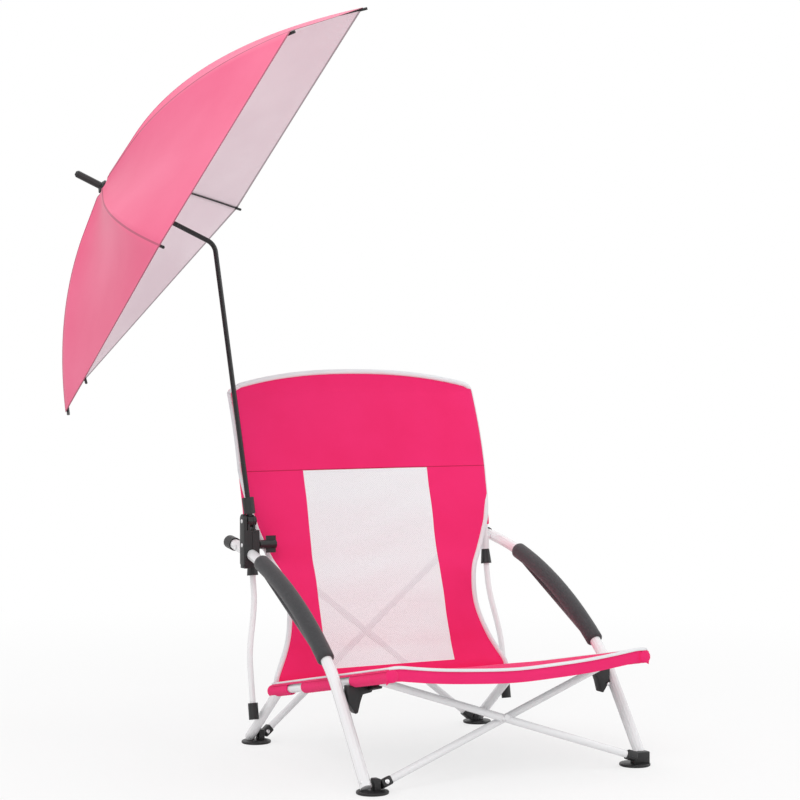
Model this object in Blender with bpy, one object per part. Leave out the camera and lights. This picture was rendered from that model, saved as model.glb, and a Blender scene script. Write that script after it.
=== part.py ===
"""Low folding beach chair with a sling seat and a clamp-on umbrella.

Metres, +Z up. The chair faces -Y and X runs across it. Sizes are measured from the middle of the
chair in X, from the middle of the front feet in Y and from the floor in Z, and everything hangs on
one empty that stands the finished model over the middle of its own bounding box.
"""
import math

import bmesh
import bpy
from mathutils import Matrix, Vector

# Where the middle of the whole object's bounding box lies over the floor
MIDDLE_X = -0.1784
MIDDLE_Y = 0.5094

# Arm tube: straight leg, knee, long arch and short tail in one plane
ARM_X = 0.295
ARM_RADIUS = 0.011
LEG_ANGLE = math.radians(54)
LEG_START_Y = -0.003
LEG_START_Z = 0.012
LEG_LENGTH = 0.196
KNEE_RADIUS = 0.25
KNEE_TURN = math.radians(14)
ARCH_RADIUS = 0.833
ARCH_TURN = math.radians(33)
ARM_TAIL = 0.010
GRIP_RADIUS = 0.0165
GRIP_START_Y = 0.160
GRIP_SETBACK = 0.1436
CAP_RADIUS = 0.0135
CAP_OVERLAP = 0.012
CAP_LENGTH = 0.0296

# Seat rail and its sleeve
RAIL_X = 0.268
RAIL_RADIUS = 0.0085
RAIL_FRONT_Y = -0.050
RAIL_REAR_Y = 0.452
RAIL_FRONT_Z = 0.2155
RAIL_SLOPE = 0.186
SLEEVE_RADIUS = 0.0120
SLEEVE_EASE = 0.0007
RAIL_SLEEVE_ENDS = (-0.0574, 0.098, 0.166, 0.408)

# Rear leg
REAR_LEG_RADIUS = 0.0098
REAR_LEG_LOW_Y = 0.5785
REAR_LEG_LOW_Z = 0.011
REAR_LEG_ANGLE = math.radians(38)
REAR_LEG_STOCK = 0.30

# Back post: thin S-bent foot, then the wide tube inside the back's sleeve, set from the arm's end
POST_X = 0.272
POST_RADIUS = 0.0088
POST_SETBACK = 0.04661
POST_FOOT_DROP = 0.06503
POST_SLOPE = 0.135
POST_BEND_SHARE = 0.1173
POST_LOW_DROP = 0.03203
POST_RISE = 0.31097
POST_SLEEVE_RISE = 0.01997
UPRIGHT_RADIUS = 0.006
UPRIGHT_LOW_X = 0.292
UPRIGHT_LOW_Z = 0.066
UPRIGHT_SLOPE = 0.178
UPRIGHT_BEND_LOW_Z = 0.165
UPRIGHT_BEND_DROP = 0.09303
CONE_LENGTH = 0.030
CONE_LOW_RADIUS = 0.0115
CONE_HIGH_RADIUS = 0.0085
RING_RADIUS = 0.0100
RING_LENGTH = 0.026

# Feet
FOOT_RADIUS = 0.030
FOOT_RIM = 0.005
FOOT_DOME = 0.009
FOOT_X = 0.281
FOOT_Y = 0.0
REAR_FOOT_X = 0.258
REAR_FOOT_Y = 0.568
SOCKET_REACH = 0.020

# Crossed struts, front and rear
BAR_RADIUS = 0.007
BAR_OFFSET = 0.0078
BAR_END = 0.0075
EAR_RADIUS = 0.007
PIN_RADIUS = 0.003
HEAD_RADIUS = 0.0055
HEAD_HEIGHT = 0.002
PLATE = 0.004
EAR_PLATE_SHARE = 0.88
LUG_DROP_SHARE = 0.85
FRONT_LOW = (0.2607, -0.0139, 0.0211)
FRONT_HIGH = (0.2375, 0.0468, 0.1875)
REAR_LOW = (0.2327, 0.5700, 0.0200)
REAR_LUG_X = 0.2470
REAR_LUG_SETBACK = 0.00081
REAR_LUG_RISE = 0.00297

# Leg bracket
BRACKET_BASE = 0.008
BRACKET_BASE_WIDTH = 0.024
BRACKET_BASE_LOW_Z = 0.127
BRACKET_BASE_HIGH_Z = 0.172
BRACKET_BASE_Y = 0.106
BRACKET_SHELF_Z = 0.166
BRACKET_SHELF_HEIGHT = 0.010
BRACKET_SHELF_WIDTH = 0.020
BRACKET_ARM_X = 0.2445
BRACKET_ARM_WIDTH = 0.014
BRACKET_EAR_LOW = 0.029

# Cloth
CLOTH = 0.0015
CLOTH_LIFT = 0.0135
SEAT_HALF_WIDTH = 0.277
SEAT_FRONT_Y = -0.050
SEAT_REAR_Y = 0.4535
SEAT_FRONT_SAG = 0.018
SEAT_SAG = 0.006
SAG_HALF_WIDTH = 0.250
BACK_SHOULDER_RISE = 0.30997
BACK_TOP_RISE = 0.34997
BACK_FLAT_WIDTH = 0.145
BACK_SAG = 0.012
MESH_LOW_Z = 0.156
MESH_TOP_RISE = 0.14597
BACK_WIDTHS = (0.268, 0.242, 0.226, 0.218, 0.244, 0.270, 0.280, 0.283, 0.284)

# The back's lower rows stand over the floor and behind the seat's rear edge
BACK_LOW_HEIGHTS = (0.134, 0.190, 0.230, 0.300)
BACK_LOW_DEPTHS = (0.0015, 0.0165, 0.0305, 0.0515)

# Its upper rows stand over the arm's end and behind the post's foot
BACK_HIGH_RISES = (-0.03103, 0.03897, 0.11497, 0.19497, 0.29497)
BACK_HIGH_DEPTHS = (-0.019, -0.004, 0.005, 0.024, 0.063)

# Clamp on the left arm, set from the arm's end
CLAMP_SETBACK = 0.08661
CLAMP_X = -0.295
CLAMP_OUTER_X = -0.311
CLAMP_INNER_X = -0.279
CLAMP_SPLIT = 0.0008
CLAMP_DEPTH = 0.022
CLAMP_DROP = 0.04303
CLAMP_RISE = 0.03297
JAW_TRAVEL = 0.003
STUD_RISE = 0.00297
KNOB_HUB_RADIUS = 0.009
KNOB_LENGTH = 0.036
KNOB_WING = 0.034
KNOB_WING_HEIGHT = 0.020
KNOB_WING_THICKNESS = 0.005
KNUCKLE_X = -0.296
KNUCKLE_RISE = 0.05097
KNUCKLE_RADIUS = 0.0125
NUT_RADIUS = 0.0095
NUT_LENGTH = 0.006
TONGUE = 0.007
SOCKET_RADIUS = 0.0115
SOCKET_RISE = 0.06497
SOCKET_LENGTH = 0.033

# Umbrella
POLE_RADIUS = 0.005
POLE_FOOT_RISE = 0.06897
POLE_RUN = (-0.042, 0.075, 0.537)
POLE_BEND_RADIUS = 0.030
CROWN_RUN = (-0.2152, 0.0655, 0.1132)
FERRULE_LENGTH = 0.058
FERRULE_RADIUS = 0.0072
HUB_RADIUS = 0.0104
HUB_PLATE_RADIUS = 0.0140
HUB_DEPTH = 0.016
RIB_LENGTH = 0.598
RIB_RADIUS = 0.0018
RIB_FIRST_TURN = math.radians(104.87)
RIB_PIVOT_RADIUS = 0.0126
RIB_PIVOT_DEPTH = 0.0060
RIB_START_SLOPE_SHARE = 0.10
RIB_STRAIGHT_SHARE = 0.20
RIB_SPREAD_SHARES = (1.0127, 0.9011, 0.9139, 0.7653, 0.8983, 0.9477)
RIB_TURN_SHARES = (-0.0795, 0.0022, 0.0854, 0.055, -0.0501, -0.0049)
RIB_DROOP_SHARES = (0.434, 0.2403, 0.1527, 0.1988, 0.198, 0.4362)
TIP_RADIUS = 0.0030
TIP_LENGTH = 0.016
STRETCHER_LENGTH = 0.106
STRETCHER_DROP = 0.0039
STRETCHER_RADIUS = 0.0015
RUNNER_RADIUS = 0.0068
RUNNER_LENGTH = 0.020
CANOPY_LIFT = 0.0056
CANOPY_THICKNESS = 0.001
CANOPY_INNER_SHARE = 0.030
CANOPY_HEM_SHARE = 0.022

GAP = 0.0003
MERGE = 0.00001
ROUND_SIDES = 16
TUBE_RINGS = 4

CANOPY_COLUMNS = 8
CANOPY_ROWS = 10

FINISHES = {
    "white": ((0.90, 0.90, 0.92), 0.25, 0.0),
    "black": ((0.02, 0.02, 0.022), 0.45, 0.0),
    "foam": ((0.045, 0.045, 0.048), 0.9, 0.0),
    "pink": ((0.92, 0.03, 0.16), 0.8, 0.0),
    "mesh": ((0.85, 0.83, 0.86), 0.8, 0.0),
    "canopy": ((0.90, 0.10, 0.28), 0.7, 0.0),
    "steel": ((0.03, 0.03, 0.033), 0.35, 0.6),
}


def clear_scene():
    for old in list(bpy.data.objects):
        bpy.data.objects.remove(old)


def finish_material(name, colour, roughness, metallic):
    material = bpy.data.materials.new(name)
    material.use_nodes = True
    shader = material.node_tree.nodes["Principled BSDF"]
    shader.inputs["Base Color"].default_value = (*colour, 1)
    shader.inputs["Roughness"].default_value = roughness
    shader.inputs["Metallic"].default_value = metallic
    return material


def from_bmesh(name, bm):
    bm.normal_update()
    bmesh.ops.recalc_face_normals(bm, faces=bm.faces)
    if all(edge.is_manifold for edge in bm.edges) and bm.calc_volume(signed=True) < 0:
        bmesh.ops.reverse_faces(bm, faces=bm.faces)
    mesh = bpy.data.meshes.new(name)
    bm.to_mesh(mesh)
    bm.free()
    mesh.shade_smooth()
    mesh.set_sharp_from_angle(angle=math.radians(35))
    obj = bpy.data.objects.new(name, mesh)
    bpy.context.scene.collection.objects.link(obj)
    return obj


def facing(direction, origin=(0, 0, 0)):
    """A frame at origin whose Z runs along direction."""
    turn = Vector((0, 0, 1)).rotation_difference(Vector(direction))
    return Matrix.Translation(Vector(origin)) @ turn.to_matrix().to_4x4()


def turned(name, profile, origin, direction, sides=ROUND_SIDES):
    """A solid turned from (radius, height) points about a line through origin."""
    bm = bmesh.new()
    points = [bm.verts.new((radius, 0, height)) for radius, height in profile if radius > 0]
    edges = [bm.edges.new(pair) for pair in zip(points, points[1:])]
    if profile[0][0] > 0:
        edges.append(bm.edges.new((points[-1], points[0])))
    bmesh.ops.spin(bm, geom=points + edges, cent=(0, 0, 0), axis=(0, 0, 1),
                   angle=math.tau, steps=sides, use_merge=True)
    bmesh.ops.remove_doubles(bm, verts=bm.verts, dist=MERGE)
    bmesh.ops.holes_fill(bm, edges=[edge for edge in bm.edges if edge.is_boundary])
    bm.transform(facing(direction, origin))
    return from_bmesh(name, bm)


def rod(name, start, end, radius, sides=ROUND_SIDES):
    start = Vector(start)
    line = Vector(end) - start
    profile = [(0, 0), (radius, 0), (radius, line.length), (0, line.length)]
    return turned(name, profile, start, line, sides)


def block(name, size, centre, turn=None):
    """A box of a given size, turned by a 3x3 matrix about its own centre."""
    bm = bmesh.new()
    bmesh.ops.create_cube(bm, size=1)
    place = Matrix.Translation(Vector(centre))
    if turn is not None:
        place = place @ turn.to_4x4()
    bm.transform(place @ Matrix.Diagonal((*size, 1)))
    return from_bmesh(name, bm)


def span_block(name, low, high):
    """A box between two corners."""
    low = Vector(low)
    high = Vector(high)
    return block(name, tuple(high - low), (low + high) / 2)


def combine(target, tool, operation):
    step = target.modifiers.new(tool.name, "BOOLEAN")
    step.operation = operation
    step.solver = "EXACT"
    step.object = tool
    tool.hide_render = True
    tool.display_type = "WIRE"
    return target


def join(target, tool):
    return combine(target, tool, "UNION")


def cut(target, tool):
    return combine(target, tool, "DIFFERENCE")


def tube(name, points, radius, rings=TUBE_RINGS, capped=True):
    """A round tube along points, taken from a bevelled curve."""
    curve = bpy.data.curves.new(name, "CURVE")
    curve.dimensions = "3D"
    curve.bevel_depth = radius
    curve.bevel_resolution = rings
    curve.use_fill_caps = capped
    spline = curve.splines.new("POLY")
    spline.points.add(len(points) - 1)
    for knot, point in zip(spline.points, points):
        knot.co = (*point, 1)
    holder = bpy.data.objects.new(name, curve)
    bpy.context.scene.collection.objects.link(holder)
    bm = bmesh.new()
    bm.from_mesh(bpy.data.meshes.new_from_object(holder))
    bpy.data.objects.remove(holder)
    bmesh.ops.remove_doubles(bm, verts=bm.verts, dist=MERGE)
    return from_bmesh(name, bm)


def sleeve(name, points, bore, radius, rings=TUBE_RINGS):
    """A tube with a bore, open at both ends."""
    obj = tube(name, points, radius, rings, capped=False)
    wall = obj.modifiers.new("wall", "SOLIDIFY")
    wall.thickness = radius - bore
    wall.offset = -1
    return obj


def sheet(name, columns, rows, place, thickness, keep=None):
    """A curved sheet: place(column, row) gives each crossing, keep says which squares stay."""
    bm = bmesh.new()
    wide = len(columns) - 1
    tall = len(rows) - 1
    bmesh.ops.create_grid(bm, x_segments=wide, y_segments=tall, size=1)
    dropped = []
    for face in bm.faces:
        middle = face.calc_center_median()
        column = int((middle.x + 1) / 2 * wide)
        row = int((middle.y + 1) / 2 * tall)
        if keep and not keep(column, row):
            dropped.append(face)
    bmesh.ops.delete(bm, geom=dropped, context="FACES")
    for vert in bm.verts:
        column = round((vert.co.x + 1) / 2 * wide)
        row = round((vert.co.y + 1) / 2 * tall)
        vert.co = place(columns[column], rows[row])
    obj = from_bmesh(name, bm)
    wall = obj.modifiers.new("wall", "SOLIDIFY")
    wall.thickness = thickness
    wall.offset = 0
    return obj


def table(value, keys, results):
    """Straight-line reading of a table."""
    if value <= keys[0]:
        return results[0]
    for low, high, first, second in zip(keys, keys[1:], results, results[1:]):
        if value <= high:
            share = (value - low) / (high - low)
            return first + (second - first) * share
    return results[-1]


def mirrored(side, point):
    return Vector((side * point[0], point[1], point[2]))


def loose(radius):
    """Bore radius that clears a round bar whatever way its flats are turned."""
    return (radius + GAP) / math.cos(math.pi / ROUND_SIDES)


def spread(low, high, steps):
    return [low + (high - low) * step / steps for step in range(steps + 1)]


def arm_point(length):
    """Y and Z of the arm tube's middle line at a length from its foot."""
    straight = min(length, LEG_LENGTH)
    y = LEG_START_Y + straight * math.cos(LEG_ANGLE)
    z = LEG_START_Z + straight * math.sin(LEG_ANGLE)
    heading = LEG_ANGLE
    length -= straight
    for radius, turn in ((KNEE_RADIUS, KNEE_TURN), (ARCH_RADIUS, ARCH_TURN)):
        part = min(max(length, 0), radius * turn)
        bend = part / radius
        y += radius * (math.sin(heading) - math.sin(heading - bend))
        z += radius * (math.cos(heading - bend) - math.cos(heading))
        heading -= bend
        length -= part
    length = max(length, 0)
    return y + length * math.cos(heading), z + length * math.sin(heading)


ARM_LENGTH = LEG_LENGTH + KNEE_RADIUS * KNEE_TURN + ARCH_RADIUS * ARCH_TURN + ARM_TAIL
LEG_LINE = Vector((0, math.cos(LEG_ANGLE), math.sin(LEG_ANGLE)))
REAR_LEG_LINE = Vector((0, -math.cos(REAR_LEG_ANGLE), math.sin(REAR_LEG_ANGLE)))
RAIL_LINE = Vector((0, 1, -RAIL_SLOPE)).normalized()

# Places that follow the arm's end
ARM_END_Y, ARM_END_Z = arm_point(ARM_LENGTH)
POST_FOOT_Y = ARM_END_Y - POST_SETBACK
POST_FOOT_Z = ARM_END_Z - POST_FOOT_DROP
POST_LOW_Z = ARM_END_Z - POST_LOW_DROP
POST_TOP_Z = ARM_END_Z + POST_RISE
POST_SLEEVE_LOW_Z = ARM_END_Z + POST_SLEEVE_RISE
UPRIGHT_BEND_HIGH_Z = ARM_END_Z - UPRIGHT_BEND_DROP
REAR_HIGH = (REAR_LUG_X, ARM_END_Y - REAR_LUG_SETBACK, ARM_END_Z + REAR_LUG_RISE)
BACK_SHOULDER_Z = ARM_END_Z + BACK_SHOULDER_RISE
BACK_TOP_Z = ARM_END_Z + BACK_TOP_RISE
MESH_TOP_Z = ARM_END_Z + MESH_TOP_RISE
BACK_HEIGHTS = BACK_LOW_HEIGHTS + tuple(ARM_END_Z + rise for rise in BACK_HIGH_RISES)
BACK_DEPTHS = (tuple(SEAT_REAR_Y + depth for depth in BACK_LOW_DEPTHS)
               + tuple(POST_FOOT_Y + depth for depth in BACK_HIGH_DEPTHS))
CLAMP_Y = ARM_END_Y - CLAMP_SETBACK
CLAMP_LOW_Z = ARM_END_Z - CLAMP_DROP
CLAMP_HIGH_Z = ARM_END_Z + CLAMP_RISE
STUD_Z = ARM_END_Z + STUD_RISE
KNUCKLE_Z = ARM_END_Z + KNUCKLE_RISE
SOCKET_LOW_Z = ARM_END_Z + SOCKET_RISE
POLE_LOW = Vector((KNUCKLE_X, CLAMP_Y, ARM_END_Z + POLE_FOOT_RISE))
POLE_BEND = POLE_LOW + Vector(POLE_RUN)
CROWN = POLE_BEND + Vector(CROWN_RUN)


def arm_length_at(y):
    """How far along the arm tube a given Y lies."""
    low = 0
    high = ARM_LENGTH
    while high - low > MERGE:
        middle = (low + high) / 2
        if arm_point(middle)[0] < y:
            low = middle
        else:
            high = middle
    return low


def arm_path(side, start, end, steps):
    points = []
    for length in spread(start, end, steps):
        y, z = arm_point(length)
        points.append((side * ARM_X, y, z))
    return points


def rail_z(y):
    return RAIL_FRONT_Z - RAIL_SLOPE * (y - RAIL_FRONT_Y)


def post_y(z):
    """The post leans back and curves a little further back above the arm."""
    rise = z - POST_FOOT_Z
    share = rise / (POST_TOP_Z - POST_FOOT_Z)
    return POST_FOOT_Y + POST_SLOPE * rise + POST_BEND_SHARE * rise * share ** 2


def post_path(side, low, high, steps):
    return [(side * POST_X, post_y(z), z) for z in spread(low, high, steps)]


def upright_point(side, z):
    """The thin lower upright steps outwards below the seat to miss the rear leg."""
    share = (z - UPRIGHT_BEND_LOW_Z) / (UPRIGHT_BEND_HIGH_Z - UPRIGHT_BEND_LOW_Z)
    share = min(max(share, 0), 1)
    ease = share * share * (3 - 2 * share)
    x = UPRIGHT_LOW_X + (POST_X - UPRIGHT_LOW_X) * ease
    slope = UPRIGHT_SLOPE if z < POST_FOOT_Z else POST_SLOPE
    return Vector((side * x, POST_FOOT_Y + slope * (z - POST_FOOT_Z), z))


def strut_turn(low, high):
    """Rotation whose columns are across, towards the front, and up a crossed pair's plane."""
    up = Vector((0, high[1] - low[1], high[2] - low[2])).normalized()
    front = Vector((1, 0, 0)).cross(up)
    return Matrix((Vector((1, 0, 0)), front, up)).transposed()


FRONT_TURN = strut_turn(FRONT_LOW, FRONT_HIGH)
REAR_TURN = strut_turn(REAR_LOW, REAR_HIGH)


def ear(host, point, turn, layer, reach, drop, side, pinned=False):
    """Adds a lug beside a strut's end: a round eye, a plate down from it, and its rivet."""
    depth = layer * (BAR_OFFSET - BAR_RADIUS - GAP - PLATE / 2)
    front = turn.col[1]
    eye = point + front * depth
    name = host.name
    join(host, rod(name + "_eye" + str(reach > 0), eye - front * PLATE / 2, eye + front * PLATE / 2,
                   EAR_RADIUS))
    low = eye - turn.col[2] * drop
    inward = EAR_RADIUS * EAR_PLATE_SHARE
    high = eye + turn.col[2] * (EAR_RADIUS - inward)
    middle = (high + low) / 2 + Vector((side * (reach - inward) / 2, 0, 0))
    size = (reach + inward, PLATE * EAR_PLATE_SHARE, (high - low).length)
    join(host, block(name + "_plate" + str(reach > 0), size, middle, turn))
    far = eye - front * layer * (PLATE / 2 + HEAD_HEIGHT)
    profile = [(0, 0), (HEAD_RADIUS, 0), (HEAD_RADIUS, HEAD_HEIGHT + PLATE / 2)]
    if pinned:
        profile += rivet_end(HEAD_HEIGHT + PLATE / 2, HEAD_HEIGHT + PLATE + 2 * BAR_RADIUS + 2 * GAP)
    else:
        profile.append((0, HEAD_HEIGHT + PLATE / 2))
    join(host, turned(name + "_rivet", profile, far, front * layer))


def rivet_end(start, shoulder):
    """Outline of a pin that ends in a head beyond its shoulder."""
    return [(PIN_RADIUS, start), (PIN_RADIUS, shoulder), (HEAD_RADIUS, shoulder),
            (HEAD_RADIUS, shoulder + HEAD_HEIGHT), (0, shoulder + HEAD_HEIGHT)]


def make_foot(name, side, x, y, leg_x, leg_y, leg_z, leg_line, leg_radius, low, turn, layer, pinned):
    """A round plastic foot with a socket for its leg tube and a lug for a strut."""
    wall = leg_radius + PLATE
    foot = turned(name, [(0, 0), (FOOT_RADIUS, 0), (FOOT_RADIUS, FOOT_RIM), (leg_radius, FOOT_DOME),
                         (0, FOOT_DOME)], (side * x, y, 0), (0, 0, 1))
    start = Vector((side * leg_x, leg_y, leg_z))
    join(foot, rod(name + "_socket", start + leg_line * PLATE, start + leg_line * SOCKET_REACH, wall))
    point = mirrored(side, low)
    ear(foot, point, turn, layer, x - low[0], low[2] * LUG_DROP_SHARE, side, pinned)
    cut(foot, rod(name + "_bore", start - leg_line * GAP, start + leg_line * FOOT_RADIUS * 2,
                  loose(leg_radius)))
    return foot


def strut(name, side, low, high, turn, layer, crossing, crossing_pin):
    """A straight strut from its foot on one side to the bracket on the other."""
    front = turn.col[1]
    foot = mirrored(side, low) + front * layer * BAR_OFFSET
    top = mirrored(-side, high) + front * layer * BAR_OFFSET
    line = (top - foot).normalized()
    bar = rod(name, foot - line * BAR_END, top + line * BAR_END, BAR_RADIUS)
    bore = loose(PIN_RADIUS)
    reach = front * BAR_RADIUS * 2
    cut(bar, rod(name + "_low_bore", foot - reach, foot + reach, bore))
    head = top + front * layer * BAR_RADIUS * 0.9
    join(bar, rod(name + "_head", head, head + front * layer * (HEAD_HEIGHT), HEAD_RADIUS))
    middle = foot + line * crossing
    if crossing_pin:
        ring = 2 * BAR_OFFSET - BAR_RADIUS - GAP
        profile = [(0, 0), (HEAD_RADIUS, 0), (HEAD_RADIUS, ring)]
        profile += rivet_end(ring, 2 * BAR_OFFSET + BAR_RADIUS + GAP)
        join(bar, turned(name + "_pin", profile, middle, front))
    else:
        cut(bar, rod(name + "_middle_bore", middle - reach, middle + reach, bore))
    return bar


def crossing_length(low, high):
    """How far up each strut of a pair the two cross."""
    rise = math.hypot(high[1] - low[1], high[2] - low[2])
    run = low[0] + high[0]
    share = low[0] / run
    return math.hypot(run, rise) * share


def make_side(side):
    """All the tubes, feet and fittings of one side of the chair."""
    tail = "_left" if side < 0 else "_right"
    pieces = []

    arm = tube("arm_tube" + tail, arm_path(side, 0, ARM_LENGTH, 34), ARM_RADIUS)
    rivet_z = POST_LOW_Z
    for _ in range(3):
        rivet_z = arm_point(arm_length_at(post_y(rivet_z)))[1]
    rivet = Vector((side * POST_X, post_y(rivet_z), rivet_z))
    out = Vector((side, 0, 0))
    cut(arm, rod("arm_bore" + tail, rivet, rivet + out * (ARM_X - POST_X + 2 * ARM_RADIUS),
                 loose(PIN_RADIUS)))
    pieces.append((arm, "white"))

    grip = sleeve("arm_grip" + tail, arm_path(side, arm_length_at(GRIP_START_Y),
                                              ARM_LENGTH - GRIP_SETBACK, 16),
                  ARM_RADIUS + GAP, GRIP_RADIUS)
    pieces.append((grip, "foam"))

    end = Vector((side * ARM_X, ARM_END_Y, ARM_END_Z))
    back = Vector((side * ARM_X, *arm_point(ARM_LENGTH - ARM_TAIL)))
    line = (end - back).normalized()
    first = end - line * CAP_OVERLAP
    cap = rod("arm_cap" + tail, first, first + line * CAP_LENGTH, CAP_RADIUS)
    eye_layer = 1 if side < 0 else -1
    ear(cap, mirrored(side, REAR_HIGH), REAR_TURN, eye_layer, ARM_X - REAR_HIGH[0],
        EAR_RADIUS * EAR_PLATE_SHARE, side)
    cut(cap, rod("cap_bore" + tail, first - line * CAP_OVERLAP, end + line * GAP,
                 loose(ARM_RADIUS)))
    pieces.append((cap, "black"))

    pieces.append((make_foot("front_foot" + tail, side, FOOT_X, FOOT_Y, ARM_X, LEG_START_Y,
                             LEG_START_Z, LEG_LINE, ARM_RADIUS, FRONT_LOW, FRONT_TURN,
                             -1 if side < 0 else 1, True), "black"))
    pieces.append((make_foot("rear_foot" + tail, side, REAR_FOOT_X, REAR_FOOT_Y, RAIL_X,
                             REAR_LEG_LOW_Y, REAR_LEG_LOW_Z, REAR_LEG_LINE, REAR_LEG_RADIUS,
                             REAR_LOW, REAR_TURN, -1 if side < 0 else 1, side < 0), "black"))

    rail = rod("seat_rail" + tail, (side * RAIL_X, RAIL_FRONT_Y, rail_z(RAIL_FRONT_Y)),
               (side * RAIL_X, RAIL_REAR_Y, rail_z(RAIL_REAR_Y)), RAIL_RADIUS)
    pieces.append((rail, "white"))

    low = Vector((side * RAIL_X, REAR_LEG_LOW_Y, REAR_LEG_LOW_Z))
    leg = rod("rear_leg" + tail, low, low + REAR_LEG_LINE * REAR_LEG_STOCK, REAR_LEG_RADIUS)
    across = Vector((0, RAIL_LINE.z, -RAIL_LINE.y))
    under = Vector((side * RAIL_X, RAIL_REAR_Y, rail_z(RAIL_REAR_Y))) + across * (RAIL_RADIUS + GAP)
    face_turn = facing(-across).to_3x3()
    cut(leg, block("leg_top" + tail, (REAR_LEG_STOCK, REAR_LEG_STOCK, REAR_LEG_STOCK),
                   under - across * REAR_LEG_STOCK / 2, face_turn))
    pieces.append((leg, "white"))

    posts = tube("back_post" + tail, post_path(side, POST_LOW_Z, POST_TOP_Z, 14), POST_RADIUS)
    thin = [upright_point(side, z) for z in spread(UPRIGHT_LOW_Z, POST_LOW_Z + CONE_LENGTH, 20)]
    join(posts, tube("upright" + tail, thin, UPRIGHT_RADIUS, 3))
    ring = ARM_X - POST_X - ARM_RADIUS - GAP
    profile = [(0, 0), (HEAD_RADIUS, 0), (HEAD_RADIUS, ring)]
    profile += rivet_end(ring, ARM_X - POST_X + ARM_RADIUS + GAP)
    join(posts, turned("post_pin" + tail, profile, rivet, out))
    pieces.append((posts, "white"))

    top = upright_point(side, POST_LOW_Z - GAP)
    bottom = upright_point(side, POST_LOW_Z - GAP - CONE_LENGTH)
    line = top - bottom
    bore = loose(UPRIGHT_RADIUS) + GAP
    cone = turned("post_collar" + tail, [(bore, 0), (CONE_LOW_RADIUS, 0), (CONE_HIGH_RADIUS,
                  line.length), (bore, line.length)], bottom, line)
    pieces.append((cone, "black"))

    ring_point = upright_point(side, UPRIGHT_LOW_Z)
    ring_end = ring_point + (upright_point(side, UPRIGHT_LOW_Z + RING_LENGTH) - ring_point)
    ring = rod("ring_connector" + tail, ring_point - (ring_end - ring_point) * 0.25, ring_end,
               RING_RADIUS)
    cut(ring, rod("ring_bore" + tail, ring_point - (ring_end - ring_point) * GAP / RING_LENGTH,
                  ring_end + (ring_end - ring_point), loose(UPRIGHT_RADIUS)))
    pieces.append((ring, "black"))

    bracket = block("leg_bracket" + tail, (BRACKET_BASE, BRACKET_BASE_WIDTH, BRACKET_BASE_HIGH_Z
                                           - BRACKET_BASE_LOW_Z),
                    (side * (ARM_X - ARM_RADIUS - GAP - BRACKET_BASE / 2), BRACKET_BASE_Y,
                     (BRACKET_BASE_LOW_Z + BRACKET_BASE_HIGH_Z) / 2))
    arm_inner = BRACKET_ARM_X - BRACKET_ARM_WIDTH / 2
    base_x = ARM_X - ARM_RADIUS - GAP - BRACKET_BASE / 2
    shelf_low = Vector((arm_inner, BRACKET_BASE_Y - BRACKET_SHELF_WIDTH / 2,
                        BRACKET_SHELF_Z - BRACKET_SHELF_HEIGHT))
    shelf_high = Vector((base_x, BRACKET_BASE_Y + BRACKET_SHELF_WIDTH / 2, BRACKET_SHELF_Z))
    join(bracket, span_block("shelf" + tail, mirrored(side, shelf_low), mirrored(side, shelf_high)))
    drop = BRACKET_EAR_LOW
    foot_of_ear = mirrored(side, FRONT_HIGH) - FRONT_TURN.col[2] * drop
    reach_low = Vector((arm_inner, foot_of_ear.y - PLATE / 2, BRACKET_SHELF_Z - BRACKET_SHELF_HEIGHT))
    reach_high = Vector((arm_inner + BRACKET_ARM_WIDTH, BRACKET_BASE_Y, BRACKET_SHELF_Z))
    join(bracket, span_block("reach" + tail, mirrored(side, reach_low), mirrored(side, reach_high)))
    ear(bracket, mirrored(side, FRONT_HIGH), FRONT_TURN, 1 if side < 0 else -1,
        BRACKET_ARM_X + BRACKET_ARM_WIDTH / 2 - FRONT_HIGH[0], drop, side)
    cut(bracket, tube("bracket_clear" + tail, arm_path(side, 0, ARM_LENGTH, 34), loose(ARM_RADIUS), 6))
    pieces.append((bracket, "black"))

    ends = RAIL_SLEEVE_ENDS
    for name, first, last in (("front_sleeve", *ends[:2]), ("seat_sleeve", *ends[2:])):
        points = [(side * RAIL_X, y, rail_z(y)) for y in (first, last)]
        wrap = sleeve(name + tail, points, RAIL_RADIUS + SLEEVE_EASE, SLEEVE_RADIUS)
        pieces.append((wrap, "pink"))

    wrap = sleeve("back_sleeve" + tail, post_path(side, POST_SLEEVE_LOW_Z, POST_TOP_Z, 12),
                  POST_RADIUS + SLEEVE_EASE, SLEEVE_RADIUS)
    pieces.append((wrap, "pink"))
    return pieces


def seat_place(x, y):
    share = (y - SEAT_FRONT_Y) / (SEAT_REAR_Y - SEAT_FRONT_Y)
    sag = SEAT_SAG + (SEAT_FRONT_SAG - SEAT_SAG) * max(0, 1 - 4 * share) ** 2
    across = max(0, 1 - (x / SAG_HALF_WIDTH) ** 2)
    return Vector((x, y, rail_z(y) + CLOTH_LIFT - sag * across))


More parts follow.
